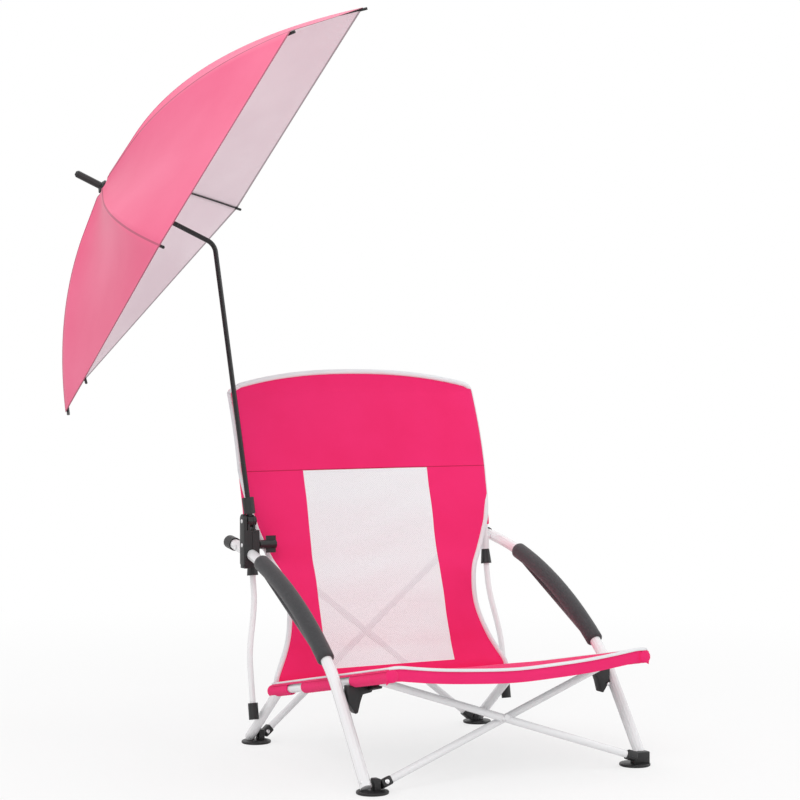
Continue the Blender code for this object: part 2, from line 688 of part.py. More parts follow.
def back_place(column, z):
    """A point of the back; columns beyond one are measured from the mesh to the edge."""
    side = -1 if column < 0 else 1
    share = abs(column)
    width = table(z, BACK_HEIGHTS, BACK_WIDTHS)
    y = table(z, BACK_HEIGHTS, BACK_DEPTHS)
    if share <= 1:
        x = BACK_FLAT_WIDTH * share
    else:
        x = BACK_FLAT_WIDTH + (width - BACK_FLAT_WIDTH) * (share - 1)
    low, second = BACK_HEIGHTS[:2]
    y += BACK_SAG * (1 - (x / width) ** 2) * min((z - low) / (second - low), 1)
    if z > BACK_SHOULDER_Z:
        rise = BACK_TOP_Z - BACK_SHOULDER_Z
        height = BACK_SHOULDER_Z + (z - BACK_SHOULDER_Z) * (1 - (x / width) ** 4)
        z = max(height, BACK_SHOULDER_Z + (z - BACK_SHOULDER_Z) * 0.1)
        y += POST_SLOPE * rise
    return Vector((side * x, y, z))


def make_cloth():
    pieces = []
    columns = spread(-SEAT_HALF_WIDTH, SEAT_HALF_WIDTH, 14)
    seat = sheet("seat_panel", columns, spread(SEAT_FRONT_Y, SEAT_REAR_Y, 14), seat_place, CLOTH)
    pieces.append((seat, "pink"))

    inner = 1 + GAP / BACK_FLAT_WIDTH
    columns = [-2, -1.66, -1.33, -inner, -0.75, -0.5, -0.25, 0, 0.25, 0.5, 0.75, inner, 1.33, 1.66, 2]
    rows = [BACK_HEIGHTS[0], MESH_LOW_Z - GAP]
    rows += [z for z in BACK_HEIGHTS if MESH_LOW_Z < z < MESH_TOP_Z] + [MESH_TOP_Z + GAP]
    split = len(rows) - 1
    rows += [z for z in BACK_HEIGHTS if z > MESH_TOP_Z] + spread(BACK_SHOULDER_Z, BACK_TOP_Z, 3)[1:]

    def solid(column, row):
        return row < 1 or row >= split or column < 3 or column >= 11

    back = sheet("back_panel", columns, rows, back_place, CLOTH, solid)
    pieces.append((back, "pink"))
    rows = [MESH_LOW_Z] + [z for z in BACK_HEIGHTS if MESH_LOW_Z < z < MESH_TOP_Z]
    rows.append(MESH_TOP_Z - GAP)
    net = sheet("mesh_panel", spread(-1 + GAP / BACK_FLAT_WIDTH, 1 - GAP / BACK_FLAT_WIDTH, 8), rows,
                back_place, CLOTH)
    pieces.append((net, "mesh"))
    return pieces


def make_struts():
    pieces = []
    for place, low, high, turn in (("front", FRONT_LOW, FRONT_HIGH, FRONT_TURN),
                                   ("rear", REAR_LOW, REAR_HIGH, REAR_TURN)):
        length = crossing_length(low, high)
        behind = strut(place + "_brace_a", -1, low, high, turn, -1, length, True)
        before = strut(place + "_brace_b", 1, low, high, turn, 1, length, False)
        pieces.append((behind, "white"))
        pieces.append((before, "white"))
    return pieces


def make_clamp():
    pieces = []
    half = CLAMP_DEPTH / 2
    arm_clear = arm_path(-1, arm_length_at(CLAMP_Y - 2 * half), arm_length_at(CLAMP_Y + 2 * half), 6)
    stud = (0, CLAMP_Y, STUD_Z)
    body = span_block("clamp_body", (CLAMP_OUTER_X, CLAMP_Y - half, CLAMP_LOW_Z),
                      (CLAMP_X - CLAMP_SPLIT / 2, CLAMP_Y + half, CLAMP_HIGH_Z))
    join(body, span_block("clamp_roof", (CLAMP_OUTER_X + PLATE, CLAMP_Y - half + 2 * GAP,
                                         CLAMP_HIGH_Z - PLATE),
                          (CLAMP_INNER_X, CLAMP_Y + half - 2 * GAP, CLAMP_HIGH_Z - 2 * GAP)))
    for offset in (-1, 1):
        inner = KNUCKLE_X + offset * (TONGUE / 2 + GAP)
        outer = inner + offset * PLATE
        join(body, rod("knuckle_ear" + str(offset), (inner, CLAMP_Y, KNUCKLE_Z),
                       (outer, CLAMP_Y, KNUCKLE_Z), KNUCKLE_RADIUS))
        join(body, span_block("knuckle_foot" + str(offset),
                              (min(inner, outer), CLAMP_Y - KNUCKLE_RADIUS * EAR_PLATE_SHARE,
                               CLAMP_HIGH_Z - PLATE / 2),
                              (max(inner, outer), CLAMP_Y + KNUCKLE_RADIUS * EAR_PLATE_SHARE,
                               KNUCKLE_Z)))
    nut = KNUCKLE_X + TONGUE / 2 + GAP + PLATE / 2
    join(body, rod("knuckle_nut", (nut, CLAMP_Y, KNUCKLE_Z), (nut + NUT_LENGTH, CLAMP_Y, KNUCKLE_Z),
                   NUT_RADIUS))
    join(body, rod("knuckle_pin", (KNUCKLE_X - TONGUE, CLAMP_Y, KNUCKLE_Z),
                   (KNUCKLE_X + TONGUE, CLAMP_Y, KNUCKLE_Z), PIN_RADIUS))
    cut(body, tube("body_clear", arm_clear, loose(ARM_RADIUS), 6))
    cut(body, rod("body_stud_bore", (CLAMP_OUTER_X + PLATE, *stud[1:]), (CLAMP_INNER_X, *stud[1:]),
                  loose(PIN_RADIUS)))
    pieces.append((body, "black"))

    jaw = span_block("clamp_jaw", (CLAMP_X + CLAMP_SPLIT / 2, CLAMP_Y - half, CLAMP_LOW_Z),
                     (CLAMP_INNER_X, CLAMP_Y + half, CLAMP_HIGH_Z - PLATE - GAP))
    cut(jaw, tube("jaw_clear", arm_clear, loose(ARM_RADIUS), 6))
    cut(jaw, rod("jaw_stud_bore", (CLAMP_OUTER_X, *stud[1:]), (CLAMP_INNER_X / 2, *stud[1:]),
                 loose(PIN_RADIUS)))
    pieces.append((jaw, "black"))

    start = CLAMP_INNER_X + JAW_TRAVEL + GAP
    knob = rod("wing_knob", (start, *stud[1:]), (start + KNOB_LENGTH, *stud[1:]), KNOB_HUB_RADIUS)
    join(knob, block("knob_wings", (KNOB_WING_HEIGHT, KNOB_WING_THICKNESS, KNOB_WING),
                     (start + KNOB_LENGTH - KNOB_WING_HEIGHT / 2, *stud[1:])))
    join(knob, rod("knob_stud", (CLAMP_OUTER_X + 2 * PLATE, *stud[1:]), (start + PLATE, *stud[1:]),
                   PIN_RADIUS))
    pieces.append((knob, "black"))

    bottom = Vector((KNUCKLE_X, CLAMP_Y, KNUCKLE_Z))
    socket = rod("pole_socket", bottom - Vector((TONGUE / 2, 0, 0)), bottom + Vector((TONGUE / 2, 0, 0)),
                 KNUCKLE_RADIUS - GAP)
    join(socket, span_block("tongue", (KNUCKLE_X - TONGUE / 2, CLAMP_Y - KNUCKLE_RADIUS / 2, KNUCKLE_Z),
                            (KNUCKLE_X + TONGUE / 2, CLAMP_Y + KNUCKLE_RADIUS / 2,
                             SOCKET_LOW_Z + PLATE)))
    lean = (POLE_BEND - POLE_LOW).normalized()
    base = POLE_LOW - lean * PLATE
    join(socket, turned("socket_cup", [(0, 0), (SOCKET_RADIUS, 0), (SOCKET_RADIUS + 2 * GAP,
                        SOCKET_LENGTH), (0, SOCKET_LENGTH)], base, lean))
    cut(socket, rod("socket_bore", POLE_LOW - lean * GAP, POLE_LOW + lean * 2 * SOCKET_LENGTH,
                    loose(POLE_RADIUS)))
    cut(socket, rod("tongue_bore", bottom - Vector((TONGUE, 0, 0)), bottom + Vector((TONGUE, 0, 0)),
                    loose(PIN_RADIUS)))
    pieces.append((socket, "black"))
    return pieces


AXIS = (CROWN - POLE_BEND).normalized()
ACROSS = Vector((0, 0, 1)).cross(AXIS).normalized()
OVER = AXIS.cross(ACROSS)


def spoke(number):
    """Outward and sideways directions of a rib at the crown."""
    turn = RIB_FIRST_TURN - math.tau / len(RIB_TURN_SHARES) * number
    out = ACROSS * math.cos(turn) + OVER * math.sin(turn)
    return out, AXIS.cross(out)


def rib_point(number, share, lift=0):
    """A point of a rib's middle line: straight near the crown, then drooping and turning."""
    number = number % len(RIB_TURN_SHARES)
    out, side = spoke(number)
    length = RIB_LENGTH * RIB_SPREAD_SHARES[number] - RIB_PIVOT_RADIUS
    bend = max(0, (share - RIB_STRAIGHT_SHARE) / (1 - RIB_STRAIGHT_SHARE)) ** 2
    drop = length * (RIB_START_SLOPE_SHARE * share + RIB_DROOP_SHARES[number] * bend)
    aside = length * RIB_TURN_SHARES[number] * bend
    reach = RIB_PIVOT_RADIUS + length * share
    return (CROWN + out * reach + side * aside
            - AXIS * (RIB_PIVOT_DEPTH + drop - lift))


def make_pole():
    """The umbrella's stick, bent once under the canopy."""
    first = (POLE_BEND - POLE_LOW).normalized()
    second = (CROWN - POLE_BEND).normalized()
    half = first.angle(second) / 2
    inward = (second - first).normalized()
    centre = POLE_BEND + inward * POLE_BEND_RADIUS / math.cos(half)
    points = [POLE_LOW]
    for angle in spread(-half, half, 8):
        points.append(centre - (inward * math.cos(angle) - first.lerp(second, 0.5).normalized()
                                * math.sin(angle)) * POLE_BEND_RADIUS)
    points.append(CROWN - second * (HUB_DEPTH - PLATE))
    return tube("pole", points, POLE_RADIUS)


def make_umbrella():
    pieces = [(make_pole(), "steel")]
    plate_low = -(RIB_PIVOT_DEPTH - RIB_RADIUS - 2 * GAP)
    bore = loose(POLE_RADIUS)
    crown = turned("crown", [(0, -HUB_DEPTH), (HUB_RADIUS, -HUB_DEPTH), (HUB_RADIUS, plate_low),
                             (HUB_PLATE_RADIUS, plate_low), (HUB_PLATE_RADIUS, 0),
                             (FERRULE_RADIUS, PLATE), (FERRULE_RADIUS, FERRULE_LENGTH - PLATE),
                             (FERRULE_RADIUS / 2, FERRULE_LENGTH), (0, FERRULE_LENGTH)],
                   CROWN, AXIS)
    foot = CROWN - AXIS * HUB_DEPTH
    cut(crown, rod("crown_bore", foot - AXIS * PLATE, foot + AXIS * (PLATE + GAP), bore))
    pieces.append((crown, "black"))

    length = RIB_LENGTH * RIB_SPREAD_SHARES[0] - RIB_PIVOT_RADIUS
    drop = STRETCHER_DROP
    slope = math.atan(RIB_START_SLOPE_SHARE)
    depth = (RIB_PIVOT_DEPTH + 2 * STRETCHER_LENGTH * math.sin(slope) + drop * math.cos(slope))
    middle = CROWN - AXIS * (depth + RUNNER_LENGTH / 2)
    runner = turned("runner", [(bore, 0), (RUNNER_RADIUS, 0), (RUNNER_RADIUS, RUNNER_LENGTH),
                               (bore, RUNNER_LENGTH)], middle - AXIS * RUNNER_LENGTH / 2, AXIS)
    pieces.append((runner, "black"))

    for number in range(len(RIB_TURN_SHARES)):
        name = str(number + 1)
        points = [rib_point(number, 0), rib_point(number, RIB_STRAIGHT_SHARE)]
        points += [rib_point(number, share) for share in spread(RIB_STRAIGHT_SHARE, 1, 10)[1:]]
        rib = tube("rib_" + name, points, RIB_RADIUS, 1)
        line = (points[-1] - points[-2]).normalized()
        tip = rod("rib_tip_" + name, points[-1] - line * TIP_LENGTH, points[-1] + line * GAP, TIP_RADIUS,
                  8)
        join(rib, tip)
        pieces.append((rib, "steel"))

        out, _ = spoke(number)
        along = (points[1] - points[0]).normalized()
        under = (out * -math.sin(slope) - AXIS * math.cos(slope))
        joint = points[0] + along * STRETCHER_LENGTH + under * drop
        back = out * -math.cos(slope) - AXIS * math.sin(slope)
        stay = rod("stretcher_" + name, joint, joint + back * STRETCHER_LENGTH, STRETCHER_RADIUS, 8)
        pieces.append((stay, "steel"))

        def cover(column, share, number=number):
            near = rib_point(number, share, CANOPY_LIFT)
            beside = rib_point(number + (1 if column > 0 else -1), share, CANOPY_LIFT)
            middle = (near + beside) / 2
            reach = abs(column) * (1 - GAP)
            point = near.lerp(middle, reach)
            hem = CANOPY_HEM_SHARE * reach * (2 - reach) * share ** 4
            return point.lerp(CROWN - AXIS * RIB_PIVOT_DEPTH, hem)

        columns = spread(-1, 1, CANOPY_COLUMNS)
        rows = spread(CANOPY_INNER_SHARE, 1 - CANOPY_INNER_SHARE / 2, CANOPY_ROWS)
        cloth = sheet("canopy_" + name, columns, rows, cover, CANOPY_THICKNESS)
        pieces.append((cloth, "canopy"))
    return pieces


def main():
    clear_scene()
    root = bpy.data.objects.new("root", None)
    bpy.context.scene.collection.objects.link(root)
    pieces = make_side(-1) + make_side(1) + make_struts() + make_cloth()
    pieces += make_clamp() + make_umbrella()
    for obj, finish in pieces:
        obj.data.materials.append(finish_material(obj.name, *FINISHES[finish]))
        if any(step.type == "BOOLEAN" for step in obj.modifiers):
            weld = obj.modifiers.new("weld", "WELD")
            weld.merge_threshold = MERGE
    for obj in bpy.data.objects:
        if obj != root:
            obj.parent = root
    root.location = (-MIDDLE_X, -MIDDLE_Y, 0)


main()
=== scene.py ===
import math

import bmesh
import bpy
from mathutils import Matrix, Vector, noise


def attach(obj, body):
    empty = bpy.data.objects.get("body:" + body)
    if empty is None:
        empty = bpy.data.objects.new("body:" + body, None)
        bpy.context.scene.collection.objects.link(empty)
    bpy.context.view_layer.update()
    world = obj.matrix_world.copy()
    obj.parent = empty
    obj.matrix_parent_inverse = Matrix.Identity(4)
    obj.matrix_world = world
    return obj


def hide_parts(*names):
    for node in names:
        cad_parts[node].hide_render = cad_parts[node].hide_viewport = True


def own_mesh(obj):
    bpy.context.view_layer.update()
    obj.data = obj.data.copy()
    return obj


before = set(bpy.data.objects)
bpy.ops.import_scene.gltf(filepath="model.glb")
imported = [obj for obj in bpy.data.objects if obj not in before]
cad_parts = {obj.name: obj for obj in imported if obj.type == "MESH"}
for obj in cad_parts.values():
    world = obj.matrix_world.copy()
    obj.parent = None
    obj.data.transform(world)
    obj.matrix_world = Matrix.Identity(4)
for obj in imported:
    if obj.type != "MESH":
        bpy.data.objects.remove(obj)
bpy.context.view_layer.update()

# The camera stands at the photograph's place, low and to the left as one faces the chair, with a
# long lens. Sizes below are measured from the middle of the chair between its front feet, and
# spot() moves them into the frame, whose middle is the whole object's.
MIDDLE = Vector((-0.1784, 0.5094, 0))
LENS_MM = 94.5
SENSOR_MM = 36
CAMERA_REACH = 60
CAMERA_LOOK = (0.4635, 0.886, -0.0151)
CAMERA_ROLL = math.radians(-0.13)


def spot(x, y, z):
    return Vector((x, y, z)) - MIDDLE


def look_along(place, direction, roll):
    turn = Vector(direction).to_track_quat("-Z", "Y").to_matrix().to_4x4()
    return Matrix.Translation(place) @ turn @ Matrix.Rotation(roll, 4, "Z")


camera_data = bpy.data.cameras.new("photo_view")
camera_data.lens = LENS_MM
camera_data.sensor_width = SENSOR_MM
camera_data.clip_end = CAMERA_REACH
camera = bpy.data.objects.new("photo_view", camera_data)
camera.matrix_world = look_along(spot(-1.971, -3.340, 0.760), CAMERA_LOOK, CAMERA_ROLL)
bpy.context.scene.collection.objects.link(camera)
bpy.context.scene.camera = camera

# What every piece shares: a surface is a material with the patterns that colour, roughen and
# emboss it, and the mesh makers give turned, blocky and plate-like shapes.
WAVE_REPEAT = 0.314


class Surface:
    """A material, its Principled shader, and the nodes that give it its look."""

    def __init__(self, name):
        self.material = bpy.data.materials.new(name)
        self.material.use_nodes = True
        self.tree = self.material.node_tree
        self.shader = self.tree.nodes["Principled BSDF"]

    def add(self, kind, values=None, **settings):
        node = self.tree.nodes.new(kind)
        for key, value in settings.items():
            setattr(node, key, value)
        for key, value in (values or {}).items():
            node.inputs[key].default_value = value
        return node

    def link(self, output, entry):
        self.tree.links.new(output, entry)

    def tune(self, values):
        for key, value in values.items():
            self.shader.inputs[key].default_value = value

    def pattern(self, kind, values):
        """A texture that stays with the piece."""
        where = self.add("ShaderNodeTexCoord")
        texture = self.add(kind, values)
        self.link(where.outputs["Object"], texture.inputs["Vector"])
        return texture

    def noise(self, scale, detail=2):
        return self.pattern("ShaderNodeTexNoise", {"Scale": scale, "Detail": detail}).outputs["Fac"]

    def threads(self, turns, pitch, values=None):
        """Crossing sets of threads over the UV in metres, the higher one at each place."""
        where = self.add("ShaderNodeUVMap", uv_map="flat")
        higher = self.add("ShaderNodeMath", operation="MAXIMUM")
        for number, turn in enumerate(turns):
            lay = self.add("ShaderNodeMapping", {"Rotation": (0, 0, math.radians(turn))})
            thread = self.add("ShaderNodeTexWave", {"Scale": WAVE_REPEAT / pitch, **(values or {})},
                              wave_profile="SIN")
            self.link(where.outputs["UV"], lay.inputs["Vector"])
            self.link(lay.outputs["Vector"], thread.inputs["Vector"])
            self.link(thread.outputs["Fac"], higher.inputs[number])
        return higher.outputs[0]

    def tint(self, factor, dark, light, start=0.0, end=1.0):
        """A colour that goes from dark to light as the factor goes from start to end."""
        ramp = self.add("ShaderNodeValToRGB")
        low, high = ramp.color_ramp.elements
        low.position, high.position = start, end
        low.color, high.color = (*dark, 1), (*light, 1)
        self.link(factor, ramp.inputs["Fac"])
        return ramp.outputs["Color"]

    def colour(self, output):
        self.link(output, self.shader.inputs["Base Color"])

    def vary_roughness(self, factor, low, high):
        tone = self.add("ShaderNodeMapRange", {"To Min": low, "To Max": high})
        self.link(factor, tone.inputs["Value"])
        self.link(tone.outputs["Result"], self.shader.inputs["Roughness"])

    def relief(self, height, strength, distance):
        bump = self.add("ShaderNodeBump", {"Strength": strength, "Distance": distance})
        self.link(height, bump.inputs["Height"])
        self.link(bump.outputs["Normal"], self.shader.inputs["Normal"])


def dress(piece, *surfaces):
    for surface in surfaces:
        piece.data.materials.append(surface.material)


def smooth_mesh(name, bm, angle=40):
    """An object from a bmesh, smooth-shaded but for its sharp edges."""
    mesh = bpy.data.meshes.new(name)
    bm.to_mesh(mesh)
    bm.free()
    mesh.shade_smooth()
    if angle:
        mesh.set_sharp_from_angle(angle=math.radians(angle))
    obj = bpy.data.objects.new(name, mesh)
    bpy.context.scene.collection.objects.link(obj)
    return obj


def join_in(host, guest):
    """Moves the faces of one bmesh into another."""
    mesh = bpy.data.meshes.new("guest")
    guest.to_mesh(mesh)
    guest.free()
    host.from_mesh(mesh)
    bpy.data.meshes.remove(mesh)


def lathe(outline, frames, sides=32):
    """Rings carried along a path: outline gives (share, radius), frames(share) a matrix."""
    bm = bmesh.new()
    rings = []
    for share, radius in outline:
        ring = bmesh.ops.create_circle(bm, segments=sides, radius=radius)["verts"]
        bmesh.ops.transform(bm, matrix=frames(share), verts=ring)
        rings.append(ring)
    for ring, following in zip(rings, rings[1:]):
        edges = [edge for vert in ring for edge in vert.link_edges if edge.other_vert(vert) in ring]
        more = [edge for vert in following for edge in vert.link_edges
                if edge.other_vert(vert) in following]
        bmesh.ops.bridge_loops(bm, edges=list(set(edges + more)))
    return bm


def rounded_block(bm, size, matrix, radius):
    """Adds a box with round edges to a bmesh."""
    box = bmesh.new()
    bmesh.ops.create_cube(box, size=1)
    bmesh.ops.transform(box, verts=box.verts, matrix=Matrix.Diagonal((*size, 1)))
    bmesh.ops.bevel(box, geom=list(box.edges), offset=radius, segments=3, affect="EDGES",
                    profile=0.5)
    bmesh.ops.transform(box, verts=box.verts, matrix=matrix)
    join_in(bm, box)


def plate(points, thickness):
    """A flat outline, given its thickness along a vector."""
    bm = bmesh.new()
    face = bm.faces.new([bm.verts.new(point) for point in points])
    far = bmesh.ops.extrude_face_region(bm, geom=[face])["geom"]
    bmesh.ops.translate(bm, verts=[item for item in far if isinstance(item, bmesh.types.BMVert)],
                        vec=thickness)
    bmesh.ops.recalc_face_normals(bm, faces=bm.faces)
    return bm


# Floor and daylight. A pale studio floor runs back without an edge, one large soft lamp stands
# high at the viewer's left, weaker ones at the right and behind, and the world fills the shadows.
FLOOR_HALF = 14.0
FLOOR_GREY = 0.93
FADE_START = 0.5
FADE_END = 2.6
FADE_LEAST = 0.70
FILL_STRENGTH = 0.62
LAMP_TARGET = spot(-0.1, 0.35, 0.6)
LAMPS = (("key_lamp", (-2.6, -2.2, 3.4), 2.4, 58), ("side_lamp", (2.8, -1.6, 2.4), 2.2, 20),
         ("top_lamp", (-0.2, 1.4, 3.6), 2.4, 26))

bm = bmesh.new()
bmesh.ops.create_grid(bm, x_segments=1, y_segments=1, size=FLOOR_HALF)
floor = smooth_mesh("studio_floor", bm, 0)
paper = Surface("floor_paper")
paper.tune({"Base Color": (FLOOR_GREY, FLOOR_GREY, FLOOR_GREY, 1), "Roughness": 0.9})
white = paper.add("ShaderNodeEmission")
seen = paper.add("ShaderNodeLightPath")
mixed = paper.add("ShaderNodeMixShader")
shade = paper.add("ShaderNodeMath", operation="MULTIPLY")
where = paper.add("ShaderNodeTexCoord")
reach = paper.add("ShaderNodeVectorMath", operation="LENGTH")
fade = paper.add("ShaderNodeMapRange", {"From Min": FADE_START, "From Max": FADE_END,
                                        "To Min": FADE_LEAST, "To Max": 1.0},
                 interpolation_type="SMOOTHSTEP")
paper.link(where.outputs["Object"], reach.inputs[0])
paper.link(reach.outputs["Value"], fade.inputs["Value"])
paper.link(fade.outputs["Result"], shade.inputs[1])
paper.link(seen.outputs["Is Camera Ray"], shade.inputs[0])
paper.link(shade.outputs[0], mixed.inputs["Fac"])
paper.link(paper.shader.outputs[0], mixed.inputs[1])
paper.link(white.outputs[0], mixed.inputs[2])
paper.link(mixed.outputs[0], paper.tree.nodes["Material Output"].inputs["Surface"])
dress(floor, paper)

world = bpy.data.worlds.new("studio")
world.use_nodes = True
nodes, links = world.node_tree.nodes, world.node_tree.links
fill = nodes["Background"]
fill.inputs["Color"].default_value = (1, 1, 1, 1)
fill.inputs["Strength"].default_value = FILL_STRENGTH
backdrop = nodes.new("ShaderNodeBackground")
backdrop.inputs["Color"].default_value = (1, 1, 1, 1)
backdrop.inputs["Strength"].default_value = 1.0
seen = nodes.new("ShaderNodeLightPath")
straight = nodes.new("ShaderNodeMath")
straight.operation = "MAXIMUM"
both = nodes.new("ShaderNodeMixShader")
links.new(seen.outputs["Is Camera Ray"], straight.inputs[0])
links.new(seen.outputs["Is Glossy Ray"], straight.inputs[1])
links.new(straight.outputs[0], both.inputs["Fac"])
links.new(fill.outputs[0], both.inputs[1])
links.new(backdrop.outputs[0], both.inputs[2])
links.new(both.outputs[0], nodes["World Output"].inputs["Surface"])
bpy.context.scene.world = world
bpy.context.scene.view_settings.view_transform = "Standard"

for name, place, size, power in LAMPS:
    lamp_data = bpy.data.lights.new(name, "AREA")
    lamp_data.size = size
    lamp_data.energy = power
    lamp = bpy.data.objects.new(name, lamp_data)
    lamp.matrix_world = look_along(spot(*place), LAMP_TARGET - spot(*place), 0)
    bpy.context.scene.collection.objects.link(lamp)

# White frame tubes: bent steel, coated with a glossy white powder paint that keeps a faint
# orange-peel surface. The arm tubes, rails, legs, posts and crossed struts are all cut from it.
enamel = Surface("white_powder_paint")
enamel.colour(enamel.tint(enamel.noise(9, 3), (0.90, 0.905, 0.92), (0.95, 0.952, 0.96)))
enamel.relief(enamel.noise(700), 0.06, 0.0006)
enamel.tune({"Roughness": 0.24, "Coat Weight": 0.4, "Coat Roughness": 0.12})


def finish(node, surface):
    """Gives a CAD piece its finish."""
    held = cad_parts[node]
    held.data.materials.clear()
    dress(held, surface)


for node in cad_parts:
    if node.startswith(("arm_tube", "seat_rail", "rear_leg", "back_post", "front_brace",
                        "rear_brace")):
        finish(node, enamel)

# Black fittings: collars, end caps, the umbrella's clamp, socket, runner and crown are moulded
# from black plastic with a fine satin grain.
plastic = Surface("black_moulded_plastic")
plastic.vary_roughness(plastic.noise(60), 0.34, 0.50)
plastic.relief(plastic.noise(1300), 0.25, 0.0003)
plastic.tune({"Base Color": (0.013, 0.013, 0.014, 1)})
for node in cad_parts:
    if node.startswith(("arm_cap", "front_foot", "rear_foot", "leg_bracket", "post_collar",
                        "ring_connector", "clamp", "wing_knob", "pole_socket", "crown", "runner")):
        finish(node, plastic)

# Clamp plate: a black plastic cheek, round at its top and cut off at its lower corners, that
# covers the outer side of the clamp and of the umbrella's knuckle and takes both pins.
PLATE_X = -0.3127
PLATE_Y = 0.511
PLATE_HALF = 0.0112
PLATE_CUT = 0.0050
PLATE_LOW = 0.364
PLATE_CORNER = 0.371
PLATE_HIGH = 0.4590
PLATE_THICK = 0.0072
PLATE_STEPS = 16
outline = [(PLATE_Y - PLATE_HALF, PLATE_CORNER), (PLATE_Y - PLATE_CUT, PLATE_LOW),
           (PLATE_Y + PLATE_CUT, PLATE_LOW), (PLATE_Y + PLATE_HALF, PLATE_CORNER)]
outline += [(PLATE_Y + PLATE_HALF * math.cos(math.pi * step / PLATE_STEPS),
             PLATE_HIGH + PLATE_HALF * math.sin(math.pi * step / PLATE_STEPS))
            for step in range(PLATE_STEPS + 1)]
bm = plate([spot(PLATE_X, y, z) for y, z in outline], (PLATE_THICK, 0, 0))
bmesh.ops.bevel(bm, geom=[edge for edge in bm.edges if abs(edge.verts[0].co.x - edge.verts[1].co.x)
                          < 0.0001], offset=0.0012, segments=3, affect="EDGES", profile=0.5)
cheek = smooth_mesh("clamp_cheek", bm, 35)
dress(cheek, plastic)
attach(cheek, "left_frame")

# Umbrella stick and ribs: thin steel with a black gloss paint.
paint = Surface("black_gloss_paint")
paint.vary_roughness(paint.noise(90), 0.22, 0.36)
paint.tune({"Base Color": (0.012, 0.012, 0.013, 1), "Metallic": 0.2})
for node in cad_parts:
    if node == "pole" or node.startswith(("rib_", "stretcher_")):
        finish(node, paint)

# Rivet heads: bright steel domes that close the pins of the clamp, feet, lugs and crossings.
steel = Surface("bright_rivet_steel")
steel.vary_roughness(steel.noise(400), 0.20, 0.36)
steel.tune({"Base Color": (0.78, 0.78, 0.79, 1), "Metallic": 1.0})
RIVET_HEIGHT = 0.0018
RIVETS = (
    ("clamp_upper", (-0.3127, 0.5110, 0.4560), (-1, 0, 0), 0.0042, "left_frame"),
    ("clamp_lower", (-0.3127, 0.5110, 0.4080), (-1, 0, 0), 0.0042, "left_frame"),
    ("front_foot_lug", (-0.2590, -0.0157, 0.0224), (0, -0.94, 0.34), 0.0046, "front_strut_a"),
    ("front_leg_pin", (-0.3044, -0.0012, 0.0220), (-0.85, -0.52, 0.1), 0.0030, "left_frame"),
    ("rear_foot_lug", (-0.2317, 0.5680, 0.0205), (0, -1, 0.07), 0.0044, "rear_strut_a"),
    ("front_crossing", (-0.0054, 0.0044, 0.1105), (-0.14, -0.99, -0.07), 0.0044, "front_strut_b"),
    ("strut_b_top", (-0.2375, 0.0300, 0.1935), (0, -0.94, 0.34), 0.0042, "front_strut_b"),
    ("right_bracket", (0.2787, 0.0880, 0.1445), (0, -1, 0), 0.0034, "right_frame"))
for name, place, facing, size, body in RIVETS:
    bm = bmesh.new()
    bmesh.ops.create_uvsphere(bm, u_segments=24, v_segments=12, radius=1)
    turn = Vector((0, 0, 1)).rotation_difference(Vector(facing)).to_matrix().to_4x4()
    bmesh.ops.transform(bm, verts=bm.verts, matrix=Matrix.Translation(spot(*place)) @ turn
                        @ Matrix.Diagonal((size, size, RIVET_HEIGHT, 1)))
    rivet = smooth_mesh("rivet_" + name, bm, 0)
    dress(rivet, steel)
    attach(rivet, body)

# Feet: black pads with a rounded rim, on which the tubes stand, and a block at each one's inner
# side; the right front one's is wide and holds the tube. A moulded shoe closes each strut's lower
# end, and turns with the strut beside the block.
PAD_OUTLINE = ((0, 0.0284), (0.0008, 0.0296), (0.0030, 0.0300), (0.0046, 0.0296), (0.0054, 0.0284),
               (0.0050, 0.0262), (0.0060, 0.0240), (0.0066, 0.0220))
BLOCK_Z = 0.0160
BLOCK_SIZE = (0.0125, 0.0200, 0.0235)
WIDE_BLOCK_SIZE = (0.0350, 0.0170, 0.0235)
BLOCK_ROUND = 0.0022
SHOE_SIZE = (0.0215, 0.0185, 0.0165)
SHOE_ROUND = 0.0030
SHOE_AHEAD = 0.0028
SHOE_FORWARD = 0.0004
FEET = (
    ("front", (0.281, 0.0), (0.2765, -0.004),
     {-1: (0.2607, -0.0066, 0.0184), 1: (0.2607, -0.0212, 0.0238)},
     (0.9421, 0.1148, 0.3147), (0, -0.9395, 0.3427)),
    ("rear", (0.258, 0.568), (0.2500, 0.566),
     {-1: (0.2327, 0.5778, 0.0195), 1: (0.2327, 0.5622, 0.0205)},
     (0.7748, 0.0420, 0.6308), (0, -0.9978, 0.0665)))
